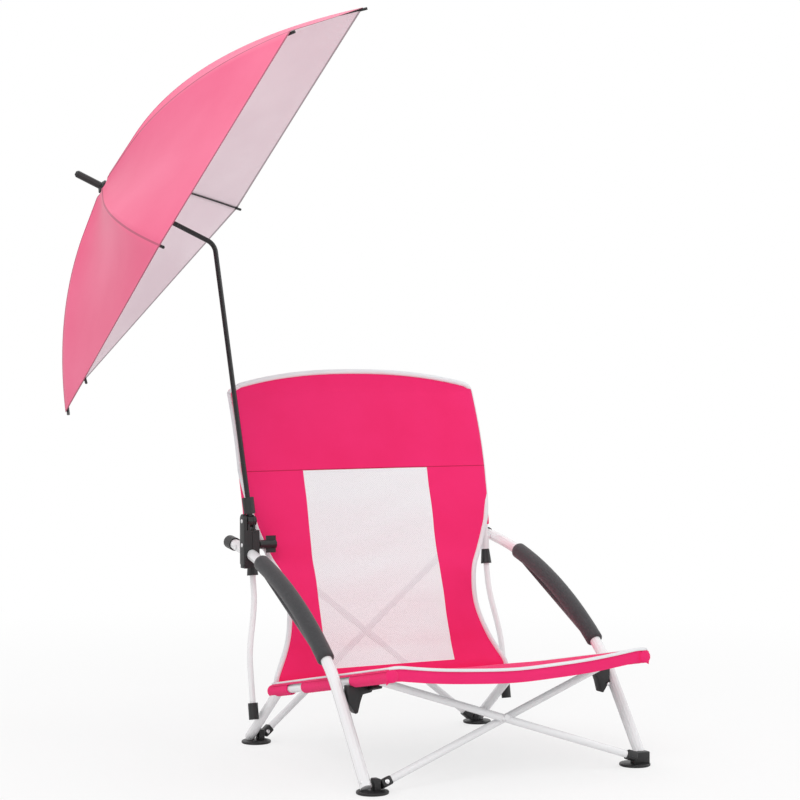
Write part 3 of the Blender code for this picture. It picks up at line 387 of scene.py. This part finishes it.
for row, pad, block, pins, line, front in FEET:
    for side, tail, strut in ((-1, "left", "a"), (1, "right", "b")):
        def risen(rise, side=side, pad=pad):
            return Matrix.Translation(spot(side * pad[0], pad[1], rise))

        bm = lathe(PAD_OUTLINE, risen)
        bmesh.ops.holes_fill(bm, edges=[edge for edge in bm.edges if edge.is_boundary])
        bmesh.ops.recalc_face_normals(bm, faces=bm.faces)
        size, place = BLOCK_SIZE, spot(side * block[0], block[1], BLOCK_Z)
        if (row, tail) == ("front", "right"):
            size, place = WIDE_BLOCK_SIZE, spot(0.2870, -0.0090, BLOCK_Z)
        rounded_block(bm, size, Matrix.Translation(place), BLOCK_ROUND)
        foot = smooth_mesh(row + "_pad_" + tail, bm, 40)
        dress(foot, plastic)
        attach(foot, tail + "_frame")
        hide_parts(row + "_foot_" + tail)
        along = Vector((-side * line[0], line[1], line[2]))
        facing = Vector(front)
        turn = Matrix((along, facing, along.cross(facing))).transposed().to_4x4()
        middle = spot(side * pins[side][0], pins[side][1], pins[side][2])
        middle += along * SHOE_AHEAD + facing * SHOE_FORWARD
        bm = bmesh.new()
        rounded_block(bm, SHOE_SIZE, Matrix.Translation(middle) @ turn, SHOE_ROUND)
        shoe = smooth_mesh(row + "_shoe_" + tail, bm, 40)
        dress(shoe, plastic)
        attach(shoe, row + "_strut_" + strut)

# Leg brackets: a black wedge on the inner side of each front leg, narrow at its lower end, with
# an arm that reaches forward to the pin at the strut's upper end.
BRACKET = ((0.2838, 0.180), (0.2838, 0.150), (0.2690, 0.128), (0.2640, 0.130), (0.2590, 0.150),
           (0.2540, 0.163), (0.2360, 0.166), (0.2340, 0.172), (0.2360, 0.179))
BRACKET_Y = 0.0900
BRACKET_WIDTH = 0.0200
BRACKET_ROUND = 0.0013
REACH_WIDTH = 0.0085
REACH_ROUND = 0.0020
for side, tail, reach in ((-1, "left", 0.0500), (1, "right", 0.0650)):
    bm = plate([spot(side * x, BRACKET_Y, z) for x, z in BRACKET], (0, BRACKET_WIDTH, 0))
    bmesh.ops.bevel(bm, geom=list(bm.edges), offset=BRACKET_ROUND, segments=2, affect="EDGES",
                    profile=0.5)
    start = Vector((side * 0.2400, 0.0960, 0.1725))
    arm = Vector((side * 0.2385, reach, 0.1830)) - start
    turn = Vector((0, 1, 0)).rotation_difference(arm.normalized()).to_matrix().to_4x4()
    rounded_block(bm, (REACH_WIDTH, arm.length, REACH_WIDTH),
                  Matrix.Translation(spot(*(start + arm / 2))) @ turn, REACH_ROUND)
    bracket = smooth_mesh("bracket_wedge_" + tail, bm, 40)
    dress(bracket, plastic)
    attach(bracket, tail + "_frame")
    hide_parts("leg_bracket_" + tail)

# Arm grips: soft black foam tube pushed over the arms, with rounded cut ends and open pores.
# The arm's middle line is a straight leg, a knee and an arch, one after the other.
LEG_ANGLE = math.radians(54)
LEG_LENGTH = 0.196
LEG_START_Y = -0.003
LEG_START_Z = 0.012
KNEE = (0.25, math.radians(14))
ARCH = (0.833, math.radians(33))
ARM_X = 0.295
ARM_LENGTH = 0.75
GRIP_RADIUS = 0.0165
GRIP_BORE = 0.0113
GRIP_FROM_Y = 0.160
GRIP_TO_Y = 0.457
GRIP_EDGE = 0.010
GRIP_STEPS = 40
GRIP_WAVER = 0.00025


def arm_point(length):
    """Y, Z and heading of the arm tube's middle line at a length from its foot."""
    straight = min(length, LEG_LENGTH)
    y = LEG_START_Y + straight * math.cos(LEG_ANGLE)
    z = LEG_START_Z + straight * math.sin(LEG_ANGLE)
    heading = LEG_ANGLE
    length -= straight
    for radius, turn in (KNEE, ARCH):
        bend = min(max(length, 0), radius * turn) / radius
        y += radius * (math.sin(heading) - math.sin(heading - bend))
        z += radius * (math.cos(heading - bend) - math.cos(heading))
        heading -= bend
        length -= bend * radius
    return y + max(length, 0) * math.cos(heading), z + max(length, 0) * math.sin(heading), heading


def arm_length_at(y):
    low, high = 0, ARM_LENGTH
    while high - low > 0.00001:
        middle = (low + high) / 2
        low, high = (middle, high) if arm_point(middle)[0] < y else (low, middle)
    return low


foam = Surface("black_foam")
foam.colour(foam.tint(foam.noise(140), (0.036, 0.037, 0.040), (0.060, 0.061, 0.065)))
foam.relief(foam.pattern("ShaderNodeTexVoronoi", {"Scale": 900}).outputs["Distance"], 0.5, 0.0005)
foam.tune({"Roughness": 0.92, "Sheen Weight": 0.25})

for side, tail in ((-1, "left"), (1, "right")):
    start, end = arm_length_at(GRIP_FROM_Y), arm_length_at(GRIP_TO_Y)

    def along(share):
        y, z, heading = arm_point(start + (end - start) * share)
        return Matrix.Translation(spot(side * ARM_X, y, z)) @ Matrix.Rotation(
            heading - math.pi / 2, 4, "X")

    outline = [(0, GRIP_BORE), (0, GRIP_RADIUS - 0.0035), (GRIP_EDGE * 0.3, GRIP_RADIUS - 0.0012),
               (GRIP_EDGE, GRIP_RADIUS)]
    outline += [(GRIP_EDGE + (1 - 2 * GRIP_EDGE) * step / GRIP_STEPS,
                 GRIP_RADIUS + GRIP_WAVER * noise.noise(Vector((step * 0.9, side, 0))))
                for step in range(1, GRIP_STEPS)]
    outline += [(1 - share, radius) for share, radius in reversed(outline[:4])]
    bm = lathe(outline, along)
    bmesh.ops.bridge_loops(bm, edges=[edge for edge in bm.edges if edge.is_boundary])
    bmesh.ops.recalc_face_normals(bm, faces=bm.faces)
    grip = smooth_mesh("foam_grip_" + tail, bm, 0)
    dress(grip, foam)
    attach(grip, "left_frame" if side < 0 else "right_frame")
    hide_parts("arm_grip_" + tail)

# Seat cloth: one width of pink woven polyester, slung between the two rails and sewn over them
# in sleeves. It dips between the rails and its front edge is turned down in a deep hem.
RAIL_X = 0.268
SEAT_HALF = 0.2785
SEAT_FRONT_Y = -0.050
SEAT_RUN = 0.5035
SEAT_DIP = 0.006
FRONT_DIP = 0.012
SEAT_SPAN = 0.250
CLOTH_RISE = 0.0136
RAIL_SLOPE = 0.186


def rail_z(y):
    return 0.217 - RAIL_SLOPE * (y + 0.058)


def woven(name, dark, light, pitch):
    """Woven cloth: crossing threads over a UV in metres, mottled a little, with a soft sheen."""
    cloth = Surface(name)
    weave = cloth.threads((0, 90), pitch, {"Distortion": 0.6, "Detail Scale": 3})
    blend = cloth.add("ShaderNodeMath", {1: 0.35}, operation="MULTIPLY_ADD")
    cloth.link(weave, blend.inputs[0])
    cloth.link(cloth.noise(7, 5), blend.inputs[2])
    cloth.colour(cloth.tint(blend.outputs[0], dark, light, 0.35, 0.85))
    cloth.relief(weave, 0.35, 0.0004)
    cloth.tune({"Roughness": 0.78, "Sheen Weight": 0.06, "Specular IOR Level": 0.18})
    return cloth


pink_cloth = woven("pink_woven_cloth", (0.92, 0.019, 0.150), (0.98, 0.028, 0.190), 0.0009)
backing = woven("grey_cloth_backing", (0.56, 0.56, 0.57), (0.66, 0.66, 0.67), 0.0009)


def cloth_grid(name, wide, tall, flat, place, thickness, facing, keep=None):
    """A cloth cut flat (width, length), laid by place(u, v), with its UV in metres."""
    bm = bmesh.new()
    bmesh.ops.create_grid(bm, x_segments=wide, y_segments=tall, size=0.5)
    if keep:
        drop = [face for face in bm.faces
                if not keep(face.calc_center_median().x + 0.5, face.calc_center_median().y + 0.5)]
        bmesh.ops.delete(bm, geom=drop, context="FACES")
    layer = bm.loops.layers.uv.new("flat")
    for face in bm.faces:
        for loop in face.loops:
            loop[layer].uv = ((loop.vert.co.x + 0.5) * flat[0], (loop.vert.co.y + 0.5) * flat[1])
    for vert in bm.verts:
        vert.co = place(vert.co.x + 0.5, vert.co.y + 0.5)
    bmesh.ops.recalc_face_normals(bm, faces=bm.faces)
    if sum((face.normal * face.calc_area() for face in bm.faces), Vector()).dot(facing) < 0:
        bmesh.ops.reverse_faces(bm, faces=bm.faces)
    obj = smooth_mesh(name, bm, 0)
    wall = obj.modifiers.new("wall", "SOLIDIFY")
    wall.thickness = thickness
    wall.offset = 0
    wall.material_offset = 1
    return obj


HEM = 0.024
CLOTH_THICK = 0.0014
SEAT_FLAT = (0.575, 0.5275)


def seat_point(u, v):
    """Across u and from the front hem's lower edge v to the seat's back."""
    x = (2 * u - 1) * SEAT_HALF
    length = v * (HEM + SEAT_RUN)
    down = max(0, HEM - length)
    y = SEAT_FRONT_Y + max(0, length - HEM)
    share = max(0, length - HEM) / SEAT_RUN
    sag = SEAT_DIP + FRONT_DIP * max(0, 1 - 4 * share) ** 2
    across = max(0, 1 - (x / SEAT_SPAN) ** 2)
    z = rail_z(y) + CLOTH_RISE - sag * across
    over = max(0, abs(x) - RAIL_X)
    z -= CLOTH_RISE - math.sqrt(CLOTH_RISE ** 2 - over ** 2)
    ripple = noise.noise(Vector((x * 9, y * 5, 0.3))) * 0.0012 * across
    crease = 0.0008 * math.sin(y * 60 + 6 * noise.noise(Vector((x * 4, y * 4, 2)))) * across
    return spot(x, y - 0.0015 * math.sin(down / HEM * math.pi), z + ripple + crease - down)


seat = cloth_grid("seat_cloth", 72, 66, SEAT_FLAT, seat_point, CLOTH_THICK, Vector((0, 0, 1)))
dress(seat, pink_cloth, backing)


def folds_up(piece):
    """Rides on the left side, with a mesh of its own."""
    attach(piece, "left_frame")
    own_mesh(piece)


SHARP_ANGLE = 55


def ready(piece):
    """Applies a piece's modifiers, so that its mesh is final."""
    bpy.context.view_layer.update()
    graph = bpy.context.evaluated_depsgraph_get()
    final = bpy.data.meshes.new_from_object(piece.evaluated_get(graph), depsgraph=graph,
                                            preserve_all_data_layers=True)
    piece.modifiers.clear()
    piece.data = final
    final.set_sharp_from_angle(angle=math.radians(SHARP_ANGLE))


ready(seat)
folds_up(seat)
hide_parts("seat_panel")

# Back cloth: the same pink cloth, narrow at the waist and full width above the arms, where its
# sides are sleeves over the posts. A window is cut in it for the net, and its top edge arches.
BACK_TABLE = (
    (0.134, 0.268, 0.4550), (0.150, 0.264, 0.4570), (0.170, 0.253, 0.4640), (0.190, 0.242, 0.4710),
    (0.210, 0.233, 0.4770), (0.230, 0.226, 0.4840), (0.250, 0.221, 0.4910), (0.270, 0.218, 0.4970),
    (0.300, 0.218, 0.5050), (0.340, 0.226, 0.5180), (0.374, 0.244, 0.5310), (0.412, 0.260, 0.5400),
    (0.444, 0.271, 0.5465), (0.486, 0.277, 0.5565), (0.520, 0.280, 0.5665), (0.560, 0.283, 0.5765),
    (0.600, 0.284, 0.5870), (0.650, 0.284, 0.6040), (0.700, 0.284, 0.6245), (0.715, 0.284, 0.6310),
    (0.760, 0.284, 0.6370))
WINDOW_HALF = 0.145
WINDOW_LOW = 0.1554
WINDOW_TOP = 0.551
BACK_LOW = 0.134
BACK_HALF = 0.284
BACK_CORNER = 0.022
BACK_SAG = 0.012
BACK_SPLIT = 0.624
BOW_RISE = 0.056
POST_X = 0.272
SLEEVE_FROM_Z = 0.42
BACK_TOP = 0.7563
ARCH_DROP = 0.027
ARCH_SPAN = 0.26
ARCH_POWER = 2.3
BACK_FLAT = (0.566, 0.632)


def back_row(z):
    """Half width and depth of the back at a height, read smoothly from its table."""
    rows = BACK_TABLE
    place = 1
    while place < len(rows) - 2 and rows[place + 1][0] < z:
        place += 1
    before, low, high, after = (rows[max(0, min(len(rows) - 1, place + step))]
                                for step in (-1, 0, 1, 2))
    share = (z - low[0]) / (high[0] - low[0])
    values = []
    for column in (1, 2):
        rise = (high[column] - before[column]) / (high[0] - before[0]) * (high[0] - low[0])
        fall = (after[column] - low[column]) / max(after[0] - low[0], 0.001) * (high[0] - low[0])
        square, cube = share ** 2, share ** 3
        values.append((2 * cube - 3 * square + 1) * low[column] + (cube - 2 * square + share) * rise
                      + (3 * square - 2 * cube) * high[column] + (cube - square) * fall)
    return values


def back_top(x):
    """Height of the back's top edge: a shallow arch with a round corner over each post."""
    arch = BACK_TOP - ARCH_DROP * abs(x / ARCH_SPAN) ** ARCH_POWER
    over = min(1, max(0, abs(x) - BACK_HALF + BACK_CORNER) / BACK_CORNER)
    return arch - BACK_CORNER * (1 - math.sqrt(1 - over ** 2))


def back_point(across, z, rise=0.0):
    """A point of the back: across runs from -2 to 2, 1 at the window's side; rise above z."""
    width, depth = back_row(z)
    share = abs(across)
    if share <= 1:
        x = WINDOW_HALF * share
    else:
        x = WINDOW_HALF + (width - WINDOW_HALF) * math.sin((share - 1) * math.pi / 2)
    x = math.copysign(x, across)
    if rise:
        higher = z + (back_top(x) - z) * rise
        depth = back_row(higher)[1]
        z = higher
    bow = min(1, (z - BACK_LOW) / BOW_RISE)
    depth += BACK_SAG * (1 - (x / width) ** 2) * bow
    over = max(0, abs(x) - POST_X)
    if z > SLEEVE_FROM_Z:
        depth += CLOTH_RISE - math.sqrt(max(CLOTH_RISE ** 2 - over ** 2, 0))
    drape = noise.noise(Vector((x * 6, z * 5, 5))) * 0.0016
    pull = 0.0007 * math.sin(z * 70 + 5 * noise.noise(Vector((x * 5, z * 3, 9))))
    return spot(x, depth + (drape + pull) * (1 - (share / 2) ** 3), z)


def back_place(u, v):
    """The back's cloth: level rows up to the window's top, then rows that fan out to the arch."""
    if v <= BACK_SPLIT:
        return back_point(4 * u - 2, BACK_LOW + (WINDOW_TOP - BACK_LOW) * v / BACK_SPLIT)
    return back_point(4 * u - 2, WINDOW_TOP, (v - BACK_SPLIT) / (1 - BACK_SPLIT))


def outside_window(u, v):
    low = (WINDOW_LOW - BACK_LOW) / (WINDOW_TOP - BACK_LOW) * BACK_SPLIT
    return not (0.25 < u < 0.75 and low < v < BACK_SPLIT)


back = cloth_grid("back_cloth", 96, 125, BACK_FLAT, back_place, CLOTH_THICK,
                  Vector((0, -1, 0)), outside_window)
dress(back, pink_cloth, backing)
ready(back)
folds_up(back)
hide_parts("back_panel")

# Net window: a white polyester net, sewn into the back, that lets air through.
NET_PITCH = 0.0034
NET_SIDE_GAP = 0.0006
NET_TOP_GAP = 0.0005
NET_THICK = 0.0008
NET_FLAT = (0.29, 0.42)
net = Surface("white_net")
most = net.threads((45, -45), NET_PITCH)
holes = net.add("ShaderNodeMapRange", {"From Min": 0.42, "From Max": 0.62})
net.link(most, holes.inputs["Value"])
net.link(holes.outputs["Result"], net.shader.inputs["Alpha"])
net.relief(most, 0.3, 0.0004)
net.tune({"Base Color": (0.92, 0.95, 0.97, 1), "Roughness": 0.7})


def net_place(u, v):
    edge = 1 - NET_SIDE_GAP / WINDOW_HALF
    return back_point((2 * u - 1) * edge, WINDOW_LOW + (WINDOW_TOP - NET_TOP_GAP - WINDOW_LOW) * v)


window = cloth_grid("net_window", 40, 56, NET_FLAT, net_place, NET_THICK, Vector((0, -1, 0)))
dress(window, net, net)
ready(window)
folds_up(window)
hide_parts("mesh_panel")

# Bindings: white tape folded over the raw edges of the seat and back and stitched down. The
# net has none: its top edge is a narrow seam that runs on across the back.
tape = woven("white_binding_tape", (0.80, 0.82, 0.84), (0.90, 0.92, 0.94), 0.0007)
thread = woven("dark_seam_thread", (0.50, 0.010, 0.065), (0.60, 0.015, 0.080), 0.0007)


def binding(name, points, normal, width, depth, inset, surface):
    """A soft flat tube of tape along points, lying in the cloth, inset from its edge."""
    bm = bmesh.new()
    middle = sum(points, Vector()) / len(points)
    rings = []
    for number, point in enumerate(points):
        ahead = points[min(number + 1, len(points) - 1)]
        behind = points[max(number - 1, 0)]
        line = (ahead - behind).normalized()
        flat = line.cross(normal).normalized()
        if flat.dot(middle - point) < 0:
            flat = -flat
        turn = Matrix((flat, line.cross(flat), line)).transposed().to_4x4()
        ring = bmesh.ops.create_circle(bm, segments=10, radius=1)["verts"]
        shape = (Matrix.Translation(point + flat * inset) @ turn
                 @ Matrix.Diagonal((width / 2, depth / 2, 1, 1)))
        bmesh.ops.transform(bm, matrix=shape, verts=ring)
        rings.append(ring)
    for ring, following in zip(rings, rings[1:]):
        loops = set()
        for verts in (ring, following):
            for vert in verts:
                loops.update(edge for edge in vert.link_edges if edge.other_vert(vert) in verts)
        bmesh.ops.bridge_loops(bm, edges=list(loops))
    bmesh.ops.holes_fill(bm, edges=[edge for edge in bm.edges if edge.is_boundary])
    bmesh.ops.recalc_face_normals(bm, faces=bm.faces)
    layer = bm.loops.layers.uv.new("flat")
    for face in bm.faces:
        for loop in face.loops:
            loop[layer].uv = (loop.vert.co.x, loop.vert.co.z + loop.vert.co.y)
    obj = smooth_mesh(name, bm, 0)
    dress(obj, surface)
    folds_up(obj)
    return obj


BACK_FACING = Vector((0, -1, 0.25)).normalized()
BACK_TAPE = (0.0105, 0.0090, 0.0030)
SEAM_THREAD = (0.0026, 0.0022, 0)
SEAT_TAPE = (0.0072, 0.0046, 0)
SEAT_EDGE = 0.012
TAPE_OUT = 0.0040
TAPE_BACK = 0.0070
line = [back_place(0, step / 90) for step in range(90)]
line += [back_place(step / 120, 1) for step in range(121)]
line += [back_place(1, 1 - step / 90) for step in range(1, 91)]
for point in line:
    outer = min(1, max(0, abs(point.x + MIDDLE.x) - POST_X) / 0.010)
    wrap = min(1, max(0, (point.z - 0.40) / 0.05)) * outer
    point.x += math.copysign(TAPE_OUT, point.x + MIDDLE.x) * wrap
    point.y += TAPE_BACK * wrap
binding("back_edge", line, BACK_FACING, *BACK_TAPE, tape)
line = [back_point(-1.98 + 3.96 * step / 60, WINDOW_TOP) for step in range(61)]
binding("back_seam", line, BACK_FACING, *SEAM_THREAD, thread)
SEAT_FACING = Vector((0, -0.6, 0.8))
front = HEM / (HEM + SEAT_RUN)
line = [seat_point(SEAT_EDGE, 1 - (1 - front) * step / 50) for step in range(50)]
line += [seat_point(SEAT_EDGE + (1 - 2 * SEAT_EDGE) * step / 60, front) for step in range(61)]
line += [seat_point(1 - SEAT_EDGE, front + (1 - front) * step / 50) for step in range(1, 51)]
line = [point + Vector((0, -0.0010, 0.0010)) for point in line]
seat_edges = [binding("seat_edge", line, SEAT_FACING, *SEAT_TAPE, tape)]

# Sleeves: the seat and back cloth is turned over and sewn into tubes around the rails and posts.
# They stop short at the joints, where bare white tube shows between them.
SLEEVE_RADIUS = 0.0120
RAIL_BORE = 0.0093
POST_BORE = 0.0096
FRONT_SPAN = (-0.0574, 0.098)
MIDDLE_SPAN = (0.166, 0.307)
REAR_SPAN = (0.4650, 0.373)
POST_SPAN = (0.425, 0.716)
POST_STEPS = 24
POST_FOOT_Y = 0.551
POST_FOOT_Z = 0.340
POST_LEAN = 0.135
POST_CURVE = 0.83


def post_y(z):
    rise = z - POST_FOOT_Z
    return POST_FOOT_Y + POST_LEAN * rise + POST_CURVE * rise ** 3


def sleeve(name, lines, bore, node, body, shut=()):
    """Cloth tubes, a little loose, with soft ends; those in shut are sewn up at their first end."""
    joined = bmesh.new()
    for number, points in enumerate(lines):
        closed = number in shut

        def at(share, points=points):
            place = share * (len(points) - 1)
            low = min(int(place), len(points) - 2)
            line = (points[low + 1] - points[low]).normalized()
            turn = Vector((0, 0, 1)).rotation_difference(line).to_matrix().to_4x4()
            return Matrix.Translation(points[low].lerp(points[low + 1], place - low)) @ turn

        outline = [(0, 0.003), (0.006, 0.0085), (0.018, SLEEVE_RADIUS - 0.0006)]
        if not closed:
            outline = [(0, bore), (0, SLEEVE_RADIUS - 0.0008)]
        for step in range(37):
            loose = 0.0005 * noise.noise(Vector((step * 0.7, len(name), points[0].x)))
            outline.append((outline[-1][0] + 0.01 if step == 0 else outline[-1][0] +
                            (0.994 - outline[-1][0]) / (37 - step), SLEEVE_RADIUS + loose))
        outline += [(1, SLEEVE_RADIUS - 0.0008), (1, bore)]
        if closed:
            outline.append((0.045, bore))
        bm = lathe(outline, at, 24)
        edges = [edge for edge in bm.edges if edge.is_boundary]
        if closed:
            bmesh.ops.holes_fill(bm, edges=edges)
        else:
            bmesh.ops.bridge_loops(bm, edges=edges)
        bmesh.ops.recalc_face_normals(bm, faces=bm.faces)
        join_in(joined, bm)
    layer = joined.loops.layers.uv.new("flat")
    for face in joined.faces:
        for loop in face.loops:
            loop[layer].uv = (loop.vert.co.x * 2, loop.vert.co.y + loop.vert.co.z)
    obj = smooth_mesh(name, joined, 50)
    dress(obj, pink_cloth)
    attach(obj, body)
    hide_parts(node)
    return obj


for side, tail in ((-1, "left"), (1, "right")):
    body = "left_frame" if side < 0 else "right_frame"
    for name, spans, shut in (("front_sleeve_", (FRONT_SPAN,), (0,)),
                              ("seat_sleeve_", (MIDDLE_SPAN, REAR_SPAN), (1,))):
        lines = [[spot(side * RAIL_X, y, rail_z(y)) for y in span] for span in spans]
        sleeve("cloth_" + name + tail, lines, RAIL_BORE, name + tail, body, shut)
    heights = [POST_SPAN[0] + (POST_SPAN[1] - POST_SPAN[0]) * step / POST_STEPS
               for step in range(POST_STEPS + 1)]
    line = [spot(side * POST_X, post_y(z), z) for z in heights]
    sleeve("cloth_back_sleeve_" + tail, [line], POST_BORE, "back_sleeve_" + tail, body)

# Umbrella canopy: six gores of thin pink polyester, coated pale silver inside, sewn along the
# ribs and pulled tight, so that the cloth is one curved sheet that dips between the ribs.
CROWN = Vector((-0.5532, 0.6515, 1.1242))
POLE_BEND = Vector((-0.338, 0.586, 1.011))
AXIS = (CROWN - POLE_BEND).normalized()
ACROSS = Vector((0, 0, 1)).cross(AXIS).normalized()
OVER = AXIS.cross(ACROSS)
RIB_LENGTH = 0.598
RIB_PIVOT = 0.0126
SPREADS = (1.0127, 0.9011, 0.9139, 0.7653, 0.8983, 0.9477)
TURNS = (-0.0795, 0.0022, 0.0854, 0.055, -0.0501, -0.0049)
DROOPS = (0.434, 0.2403, 0.1527, 0.1988, 0.198, 0.4362)
FIRST_TURN = math.radians(104.87)
STRAIGHT_SHARE = 0.20
RIB_SLOPE = 0.10
HUB_DROP = 0.0060
LIFT = 0.0056
GORE_START = 0.030
GORE_SPAN = 0.966
GORE_HALF = 0.3
GORE_LENGTH = 0.58
GORE_THICK = 0.0008
HEM_HOLLOW = 0.004
GORE_DIP = 0.085


def spoke(number):
    turn = FIRST_TURN - math.tau / 6 * number
    out = ACROSS * math.cos(turn) + OVER * math.sin(turn)
    return out, AXIS.cross(out)


def rib_point(number, share, lift=0.0):
    number = number % 6
    out, aside = spoke(number)
    length = RIB_LENGTH * SPREADS[number] - RIB_PIVOT
    bend = max(0, (share - STRAIGHT_SHARE) / (1 - STRAIGHT_SHARE)) ** 2
    drop = length * (RIB_SLOPE * share + DROOPS[number] * bend)
    return (CROWN + out * (RIB_PIVOT + length * share) + aside * length * TURNS[number] * bend
            - AXIS * (HUB_DROP + drop - lift))


def canopy_cloth(name, dark, light, rough):
    """Thin coated cloth over a UV of (gore share, metres from the crown), stitched at the ribs: the
    darker band along each rib is partly the seam and partly painted shade of the crease there.
    """
    cloth = Surface(name)
    tint = cloth.tint(cloth.noise(5, 4), dark, light, 0.3, 0.75)
    where = cloth.add("ShaderNodeUVMap", uv_map="flat")
    split = cloth.add("ShaderNodeSeparateXYZ")
    near = cloth.add("ShaderNodeMath", operation="ABSOLUTE")
    # Along each rib the colour is darkened: partly the stitched seam, partly painted shade of the
    # crease at the rib.
    seam_and_crease_shade = cloth.add("ShaderNodeMapRange", {"From Min": 0.0022, "From Max": 0.0034,
                                            "To Min": 0.60, "To Max": 1.0})
    hem = cloth.add("ShaderNodeMapRange", {"From Min": 0.5755, "From Max": 0.5770,
                                           "To Min": 1.0, "To Max": 0.45})
    lower = cloth.add("ShaderNodeMath", operation="MINIMUM")
    darken = cloth.add("ShaderNodeMix", {"Factor": 1.0}, data_type="RGBA", blend_type="MULTIPLY")
    cloth.link(where.outputs["UV"], split.inputs["Vector"])
    cloth.link(split.outputs["X"], near.inputs[0])
    cloth.link(near.outputs[0], seam_and_crease_shade.inputs["Value"])
    cloth.link(split.outputs["Y"], hem.inputs["Value"])
    cloth.link(seam_and_crease_shade.outputs["Result"], lower.inputs[0])
    cloth.link(hem.outputs["Result"], lower.inputs[1])
    cloth.link(tint, darken.inputs[6])
    cloth.link(lower.outputs[0], darken.inputs[7])
    cloth.colour(darken.outputs[2])
    cloth.relief(cloth.noise(1500), 0.15, 0.0003)
    cloth.tune({"Roughness": rough, "Sheen Weight": 0.08})
    return cloth


outer_cloth = canopy_cloth("canopy_pink", (0.85, 0.098, 0.235), (0.91, 0.150, 0.300), 0.5)
inner_cloth = canopy_cloth("canopy_lining", (0.87, 0.71, 0.77), (0.96, 0.83, 0.88), 0.55)

for number in range(6):
    def cover(u, v, number=number):
        column = 2 * u - 1
        share = GORE_START + GORE_SPAN * v
        near = rib_point(number, share, LIFT)
        beside = rib_point(number + (1 if column > 0 else -1), share, LIFT)
        point = near.lerp((near + beside) / 2, abs(column))
        hem = HEM_HOLLOW * abs(column) * (2 - abs(column)) * share ** 4
        point = point.lerp(CROWN - AXIS * HUB_DROP, hem)
        dip = GORE_DIP * share * (1 - share) * abs(column) * (2 - abs(column))
        return point - AXIS * dip - MIDDLE

    bm = bmesh.new()
    bmesh.ops.create_grid(bm, x_segments=28, y_segments=44, size=0.5)
    layer = bm.loops.layers.uv.new("flat")
    for vert in bm.verts:
        vert.co.x += 0.5
        vert.co.y += 0.5
    for face in bm.faces:
        for loop in face.loops:
            u, v = loop.vert.co.x, loop.vert.co.y
            loop[layer].uv = ((2 * u - 1) * GORE_HALF * (GORE_START + v), v * GORE_LENGTH)
    for vert in bm.verts:
        vert.co = cover(vert.co.x, vert.co.y)
    bmesh.ops.recalc_face_normals(bm, faces=bm.faces)
    middle = sum((face.normal for face in bm.faces), Vector())
    if middle.dot(AXIS) < 0:
        bmesh.ops.reverse_faces(bm, faces=bm.faces)
    gore = smooth_mesh("canopy_gore_%d" % (number + 1), bm, 0)
    dress(gore, outer_cloth, inner_cloth)
    wall = gore.modifiers.new("wall", "SOLIDIFY")
    wall.thickness = GORE_THICK
    wall.offset = 0
    wall.material_offset = 1
    ready(gore)
    body = "rib_%d" % (number + 1)
    out, aside = spoke(number)
    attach(gore, body)
    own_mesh(gore)
    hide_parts("canopy_%d" % (number + 1))
